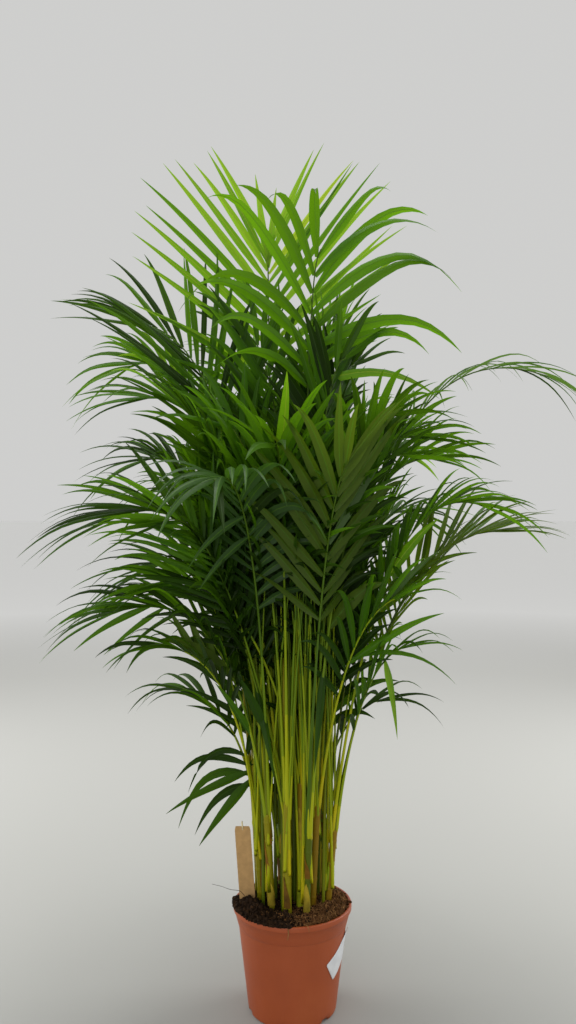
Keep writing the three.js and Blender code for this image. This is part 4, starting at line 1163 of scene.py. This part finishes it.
def make_sheaths(materials, rng):
    """Dry leaf bases round the canes, each open on one side and torn at its top."""
    batch = Batch()
    rows, columns = SHEATH_GRID
    share = np.linspace(0, 1, rows)[:, None]
    for cane in CANES:
        low = 0.0
        for _ in range(int(rng.integers(*SHEATH_COUNT))):
            low += rng.uniform(*SHEATH_GAP)
            tall = rng.uniform(*SHEATH_TALL)
            if low + tall > cane["height"] - SHEATH_BELOW_TIP:
                break
            wide = rng.uniform(*SHEATH_WIDE_DEG)
            middle = rng.uniform(0, 360)
            across = wide * np.linspace(-0.5, 0.5, columns) * (1 - SHEATH_NARROWS * share**2)
            sides = np.abs(np.linspace(-1, 1, columns)) ** SHEATH_PEAK["sharp"]
            rise = share * tall * (1 - SHEATH_PEAK["by"] * sides)
            rise = rise + rng.normal(0, SHEATH_PEAK["torn"], columns) * share
            level = np.clip((low + rise) / cane["height"], 0, 1)
            centre = lerp(cane["foot"], cane["tip"], level[..., None])
            opens = SHEATH_OFF["top"] * share**3 * rng.uniform(*SHEATH_OFF["varies"])
            flare = SHEATH_OFF["flare"] * np.exp(-level * cane["height"] / CANE_FLARE["over"])
            radius = cane["even"] + flare + (SHEATH_OFF["foot"] + opens)
            points = round_points(radius, np.radians(middle + across), 0) + centre
            tint = any_slot(materials, rng)
            batch.add_grid(points, tint)
            low += SHEATH_NEXT * tall
    settle(batch.make("cane_sheaths", materials), "canes")


# Fronds.
def outwards_of(cane):
    return math.degrees(math.atan2(cane["foot"][1], cane["foot"][0]))


class FrondLine:
    """The middle line of a frond, with a frame at any share of its length."""

    def __init__(self, frond):
        cane = CANES[frond["cane"]]
        level = frond.get("seat", 1)
        seat = lerp(cane["foot"], cane["tip"], level)
        beside = SLOT_RADIUS + BESIDE_CANE * (1 - level)
        azimuth = outwards_of(cane) + SLOT_APART_DEG * frond["slot"]
        start = seat + heading(azimuth) * beside + UP * SEAT_GAP
        end = heading(frond["azimuth"]) * frond["reach"]
        end[2] = frond["height"]
        pull = lerp(start, end, frond["bend"])
        pull[2] = frond["height"] + frond["lift"]
        self.stops = (start, pull, end)
        self.steps = np.linspace(0, 1, CURVE_STEPS)
        points = self.curve(self.steps)
        lengths = np.linalg.norm(np.diff(points, axis=0), axis=1)
        self.places = np.concatenate([[0], np.cumsum(lengths)])
        self.length = self.places[-1]
        self.out = unit(np.array([end[0] - start[0], end[1] - start[1], 0.0]))
        self.roll = math.radians(frond["roll"])

    def curve(self, step):
        start, pull, end = self.stops
        step = np.asarray(step)[..., None]
        return start * (1 - step) ** 2 + pull * 2 * step * (1 - step) + end * step**2

    def at(self, share):
        start, pull, end = self.stops
        step = np.interp(np.asarray(share) * self.length, self.places, self.steps)
        point = self.curve(step)
        step = step[..., None]
        along = unit((pull - start) * (1 - step) + (end - pull) * step)
        level = np.cross(self.out, UP)
        above = unit(np.cross(level, along))
        inwards = UP * dot(along, self.out) - self.out * along[..., 2:]
        above = np.where(dot(above, inwards) < 0, -above, above)
        side = level * math.cos(self.roll) + above * math.sin(self.roll)
        face = above * math.cos(self.roll) - level * math.sin(self.roll)
        return point, along, side, face


def stalk_radius(share):
    """Radius up a stalk: thick where it leaves the cane, then an even taper."""
    swell = STALK_SWELL["by"] * np.exp(-share * STALK_SWELL["over"])
    return lerp(STALK_RADIUS, STALK_END_RADIUS, share) + swell


def leaf_tints(frond, share, point, rng):
    """A tint for each leaflet, newer to the frond's end, and darker low and deep in the crown
    as painted shade.
    """
    # Painted shade: darker tints for leaflets low in the crown and near its axis.
    low = np.clip((DEEP_SHADE["below"] - point[:, 2]) / DEEP_SHADE["over"], 0, 1)
    edge = DEEP_SHADE["edge"]
    out = np.hypot(point[:, 0], point[:, 1])
    inside = np.clip(edge - edge * out / DEEP_SHADE["within"], 0, 1)
    tint = frond["tint"] + rng.normal(0, LEAF_TINT_VARIES, len(share))
    tint = tint - LEAF_TINT_FADE * (share - 0.5) + DEEP_SHADE["tints"] * low * inside
    return np.minimum(tint, max(DEEPEST_TINT, frond["tint"]))


def lay_leaflets(frond, line, rng):
    """Where the leaflets of a frond stand and how each one lies, by the solids' rule."""
    bare, spacing = frond["bare"], frond["spacing"]
    pairs = max(LEAF_PAIRS_LEAST, round(line.length * (1 - bare) / spacing))
    share = np.repeat((np.arange(pairs) + 0.5) / pairs, 2)
    hand = np.tile([1.0, -1.0], pairs)[:, None]
    count = 2 * pairs
    is_wide = spacing > LEAF_PLACE_VARIES["wide_over"]
    varies = LEAF_PLACE_VARIES["wide" if is_wide else "close"]
    share = np.clip(share + rng.uniform(-varies, varies, count) / pairs, 0, LEAF_LAST)
    place = bare + (1 - bare) * share
    point, along, side, face = line.at(place)
    draw = rng.uniform(-0.5, 0.5, (4, count))
    angle = lerp(LEAF_ANGLE["foot"], LEAF_ANGLE["end"], share ** LEAF_ANGLE["fade"])
    opened = np.radians(angle * frond["spread"] + LEAF_ANGLE["jitter"] * draw[0])[:, None]
    vee = lerp(LEAF_VEE["foot"], LEAF_VEE["end"], share) + LEAF_VEE["jitter"] * draw[1]
    rise = np.radians(vee)[:, None]
    outwards = side * hand * np.cos(rise) + face * np.sin(rise)
    way = unit(along * np.cos(opened) + outwards * np.sin(opened))
    least = LEAF_FULLNESS["least"]
    swell = np.sin(math.pi * (LEAF_FULLNESS["start"] + LEAF_FULLNESS["sweep"] * share))
    fullness = least + (1 - least) * swell
    radius = stalk_radius(place)[:, None]
    across = unit(along - way * dot(along, way))
    flat = np.cross(across, way) * hand
    flip = np.where(dot(flat, face) < 0, -1.0, 1.0)
    width = frond["width"] * lerp(LEAF_WIDTH["least"], 1, fullness)
    twist = LEAF_TWIST_DEG["varies"]
    foot = point + side * hand * LEAF_FOOT["side"] * radius
    leaves = {
        "foot": foot + face * LEAF_FOOT["face"] * radius,
        "way": way,
        "across": across * hand * flip,
        "flat": flat * flip,
        "length": frond["leaf"] * fullness * (1 + LEAF_VARIES["length"] * draw[2]),
        "width": width * rng.uniform(*LEAF_WIDTH["varies"], count),
        "droop": frond["droop"] * (1 + LEAF_VARIES["droop"] * draw[3]),
        "twist": np.radians(rng.normal(0, 1, count) * twist),
        "tip_droop": rng.uniform(LEAF_TIP_DROOP["least"], LEAF_TIP_DROOP["most"], count),
        "sway": rng.normal(0, LEAF_SWAY, count),
        "tint": leaf_tints(frond, share, point, rng),
    }
    if frond["name"] == STRAIGHT_FROND:
        for key, factor in STRAIGHTER.items():
            leaves[key] *= factor
    return leaves


def leaf_width(share):
    """Width along a leaflet as a share of its full width, down to a thread."""
    foot, widest = LEAF_OUTLINE["foot"], LEAF_OUTLINE["widest"]
    width = foot + (1 - foot) * np.sin(0.5 * math.pi * np.clip(share / widest, 0, 1))
    past = climb(share, widest, 1 - widest)
    width = width * (1 - past) ** LEAF_OUTLINE["taper"] * (1 + LEAF_OUTLINE["belly"] * past)
    return width + LEAF_OUTLINE["thread"]


def add_leaflets(batch, leaves):
    """Leaflets as folded blades: two halves that slope from a raised rib."""
    share = LEAF_STATIONS
    count, stations = len(leaves["length"]), len(share)
    column = {key: value[:, None] for key, value in leaves.items()}
    length, droop = column["length"], column["droop"]
    past = climb(share, LEAF_TIP_DROOP["from"], 1 - LEAF_TIP_DROOP["from"])
    out = length * share * (1 - DROOP_SHORTENS * droop * share)
    fall = droop * share**2 + column["tip_droop"] * past**2
    aside = length * column["sway"] * share**2
    centre = column["foot"] + column["way"] * out[..., None]
    centre = centre - UP * (length * fall)[..., None]
    centre = centre + column["across"] * aside[..., None]
    along = unit(np.gradient(centre, axis=1))
    twist = math.radians(LEAF_TWIST_DEG["foot"]) + column["twist"] * share
    across = column["across"] * np.cos(twist)[..., None]
    across = across + column["flat"] * np.sin(twist)[..., None]
    across = unit(across - along * dot(across, along))
    normal = np.cross(across, along)
    half = 0.5 * column["width"] * leaf_width(share)
    fade = share ** LEAF_FOLD_DEG["fade"]
    fold = np.radians(lerp(LEAF_FOLD_DEG["foot"], LEAF_FOLD_DEG["end"], fade))
    rib = np.minimum(RIB_HALF, RIB_MOST["half"] * half)
    raised = np.minimum(RIB_RISE, RIB_MOST["rise"] * half)[..., None]
    points = np.empty((count, stations, 4, 3))
    for i, hand in ((0, -1), (3, 1)):
        points[:, :, i] = centre + across * (hand * half * np.cos(fold))[..., None]
        points[:, :, i] -= normal * (half * np.sin(fold))[..., None]
    for i, hand in ((1, -1), (2, 1)):
        points[:, :, i] = centre + across * (hand * rib)[..., None] + normal * raised
    first = batch.add_points(points)
    firsts = (np.arange(count) * stations * 4)[:, None, None]
    faces = (first + grid_faces(stations, 4) + firsts).reshape(-1, 4)
    tint = np.clip(np.round(leaves["tint"]), 0, len(LEAF_TINTS) - 1).astype(int)
    is_dark = (tint > GREEN_RIBS_TO_TINT) & (tint <= DEEP_LEAF_TINT)
    rib_slot = len(LEAF_TINTS) + (tint > NEW_RIBS_TO_TINT) + is_dark
    is_rib = np.tile(np.array([False, True, False]), stations - 1)
    slots = np.where(is_rib[None, :], rib_slot[:, None], tint[:, None])
    batch.add_faces(faces, slots.ravel())


def add_stalk(batch, frond, line, rng):
    """A stalk from inside its cane's top to the frond's end, greener as it rises."""
    foot_share = STALK_RINGS["foot_share"]
    foot = np.linspace(0, foot_share, STALK_RINGS["foot"])[:-1]
    share = np.concatenate([foot, np.linspace(foot_share, 1, STALK_RINGS["rest"])])
    point, _, side, face = line.at(share)
    cane = CANES[frond["cane"]]
    sunk = lerp(cane["foot"], cane["tip"], STALK_SUNK["to"])
    below = [lerp(point[:1], sunk, step) for step in STALK_SUNK["steps"]]
    point = np.concatenate([*below, point])
    side = np.concatenate([side[:1], side[:1], side])
    face = np.concatenate([face[:1], face[:1], face])
    radius = np.concatenate([STALK_SUNK["radii"], stalk_radius(share)]) * frond.get("slim", 1)
    turns = circle(STALK_SIDES)
    groove = 1 - STALK_GROOVE * np.clip(np.sin(turns), 0, 1) ** 4
    points = rings_round(point, side, face, radius, turns, groove)
    greens = STALK_GREENS
    height = np.repeat(point[:-1, 2], STALK_SIDES)
    level = (height - greens["from"]) / greens["over"] + greens["frond"] * frond["tint"]
    level = level - greens["less"] + rng.normal(0, greens["varies"])
    tint = np.clip(np.round(level), 0, len(STALK_TINTS) - 1).astype(int)
    first = batch.add_grid(points, tint, closed=True)
    batch.add_cap(first + (len(point) - 1) * STALK_SIDES, STALK_SIDES, tint[-1])


def drawn(ranges, rng):
    """A value from each range, and the other values as they are."""
    return {
        key: rng.uniform(*value) if isinstance(value, tuple) else value
        for key, value in ranges.items()
    }


def fill_fronds(rng):
    """The fill and the shade, spread round the crown and up it by chance."""
    fronds = []
    low, high = FILL_FRONT_AZIMUTHS
    for i, cane in enumerate(CANES):
        for turn in range(FILL_PER_CANE):
            azimuth = outwards_of(cane) + rng.uniform(-1, 1) * FILL_AZIMUTH_VARIES
            height = lerp(*FILL_HEIGHT, (turn + rng.random()) / FILL_PER_CANE)
            bare = FILL_BARE
            most = np.interp(height, FILL_REACH_HEIGHTS, FILL_REACH_MOST)
            if low < azimuth % 360 < high:
                height = rng.uniform(*FILL_FRONT_HEIGHT)
                bare, most = FILL_FRONT_BARE, FILL_FRONT_REACH_MOST
            reach = lerp(FILL_REACH_LEAST, most, rng.random() ** FILL_REACH_OUTWARDS)
            fronds.append({
                "cane": i, "slot": FILL_SLOT["apart"] * turn + FILL_SLOT["first"],
                "azimuth": azimuth, "reach": reach, "height": height, "bare": bare,
                **drawn(FILL, rng),
            })
    for i in SHADE_CANES:
        for turn in range(SHADE_PER_CANE):
            slot = turn + SHADE_FIRST_SLOT
            fronds.append({"cane": i, "slot": slot, **drawn(SHADE, rng)})
    return [{"name": "fill", "slim": FILL_STALK_SLIM, **frond} for frond in fronds]


def loose_leaf(values, stems):
    """One leaf from foot to tip, laid so that its face is to the front."""
    leaf = dict(zip(LOOSE_FIELDS, values))
    foot, tip = np.array(leaf["foot"], float), np.array(leaf["tip"], float)
    seat = stems[np.argmin(np.linalg.norm(stems - foot, axis=1))]
    tip = tip + LOOSE_FOLLOW * (seat - foot)
    droop = leaf["droop"]
    shorter = 1 - DROOP_SHORTENS * droop
    length = np.linalg.norm(tip - seat)
    for _ in range(LOOSE_ROUNDS):
        length = np.linalg.norm(tip - seat + UP * length * droop) / shorter
    way = (tip - seat + UP * length * droop) / (length * shorter)
    across = unit(np.cross(way, heading(VIEWER_AZIMUTH)))
    return {
        **LOOSE_SHAPE, "foot": seat, "way": way, "across": across,
        "flat": np.cross(across, way), "length": length, "droop": droop,
        "width": leaf["width"], "tint": leaf["tint"],
    }


def make_loose_leaves(leaf_slots, stems):
    leaves = [loose_leaf(values, stems) for values in LOOSE_LEAVES]
    batch = Batch()
    add_leaflets(batch, {key: np.array([leaf[key] for leaf in leaves]) for key in leaves[0]})
    settle(batch.make("leaflets_loose", leaf_slots), "fronds")


def make_fronds(leaf_slots, stalk_slots):
    fronds = [dict(zip(FROND_FIELDS, row)) for row in FRONDS]
    fronds += fill_fronds(np.random.default_rng(FILL_SEED))
    stems = []
    for group in FROND_GROUPS:
        leaves, stalks = Batch(), Batch()
        replaced = []
        for i, frond in enumerate(fronds):
            if frond["name"].split("_")[0] != group:
                continue
            if group != "fill":
                replaced.append(f"frond_{frond['name']}")
            rng = np.random.default_rng(FIRST_SEED + i)
            line = FrondLine(frond)
            stems.append(line.at(np.linspace(*STALK_PLACES))[0])
            add_stalk(stalks, frond, line, rng)
            add_leaflets(leaves, lay_leaflets(frond, line, rng))
        settle(stalks.make(f"stalks_{group}", stalk_slots), "fronds", *replaced)
        settle(leaves.make(f"leaflets_{group}", leaf_slots), "fronds", *replaced)
    make_loose_leaves(leaf_slots, np.concatenate(stems))


# Stage.
def make_floor():
    """A round pale floor that turns into the colour of the studio far beyond the palm."""
    batch = Batch()
    radii = np.array(FLOOR_RADII)[:, None]
    batch.add_grid(round_points(radii, circle(FLOOR_SIDES), FLOOR_Z), closed=True)
    shader = Shader("floor_paint")
    away = shader.node("VectorMath", "Value", {0: shader.place()}, operation="LENGTH")
    away = shader.spread(away, 0, 1, *FLOOR_FADE)
    shader.set(color=shader.ramp(away, FLOOR_PLACES, FLOOR_COLORS), **FLOOR_FINISH)
    shader.grain(FLOOR_GRAIN)
    batch.make("floor", [shader.material])


def make_light(name, at, target, size, power):
    data = bpy.data.lights.new(name, "AREA")
    data.shape = "RECTANGLE"
    data.size, data.size_y = (value * MM for value in size)
    data.energy = power
    light = bpy.data.objects.new(name, data)
    place = np.array(at, float) * MM
    light.location = place
    way = unit(np.array(target, float) * MM - place)
    light.rotation_euler = (math.acos(-way[2]), 0, math.atan2(way[1], way[0]) - math.pi / 2)
    light.visible_camera = False
    bpy.context.scene.collection.objects.link(light)


def make_stage():
    make_floor()
    for name, values in LIGHTS.items():
        make_light(name, *values)
    world = bpy.data.worlds.new("studio")
    world.use_nodes = True
    back = world.node_tree.nodes["Background"]
    back.inputs["Color"].default_value = STUDIO_COLOR
    back.inputs["Strength"].default_value = STUDIO_LIGHT
    bpy.context.scene.world = world
    bpy.context.scene.view_settings.view_transform = "Standard"


def make_camera():
    data = bpy.data.cameras.new("camera")
    data.sensor_fit = "VERTICAL"
    data.sensor_height = CAMERA_SENSOR
    data.lens = CAMERA_LENS
    camera = bpy.data.objects.new("camera", data)
    camera.location = [value * MM for value in CAMERA_AT]
    camera.rotation_euler = (math.pi / 2, 0, 0)
    bpy.context.scene.collection.objects.link(camera)
    bpy.context.scene.camera = camera


def make_palm():
    rng = np.random.default_rng(FIRST_SEED)
    plain = {name: plain_material(name, *values) for name, values in PLAIN_FINISHES.items()}
    sheaths = [material for name, material in plain.items() if name.startswith("sheath_")]
    soil = soil_materials()
    waves = soil_waves(rng)
    make_pot(pot_material())
    make_soil_top(soil, waves, rng)
    make_crumbs(soil, waves, rng)
    make_rim_crumbs(soil, np.random.default_rng(RIM_CRUMB_SEED))
    make_fibres(plain["soil_fibre"], waves, rng)
    make_roots([plain["soil_fibre"], plain["dark_root"]])
    make_tag(plain["tag_card"], plain["tag_wood"])
    make_label(plain["label_paper"])
    bark = stem_materials("cane", CANE_TINTS)
    make_canes(bark, rng)
    make_shoots(bark[:GREEN_CANE_TINTS], np.random.default_rng(SHOOT_SEED))
    make_sheaths(sheaths, rng)
    make_fronds(leaf_materials(), stem_materials("stalk", STALK_TINTS))


make_camera()
make_stage()
make_palm()
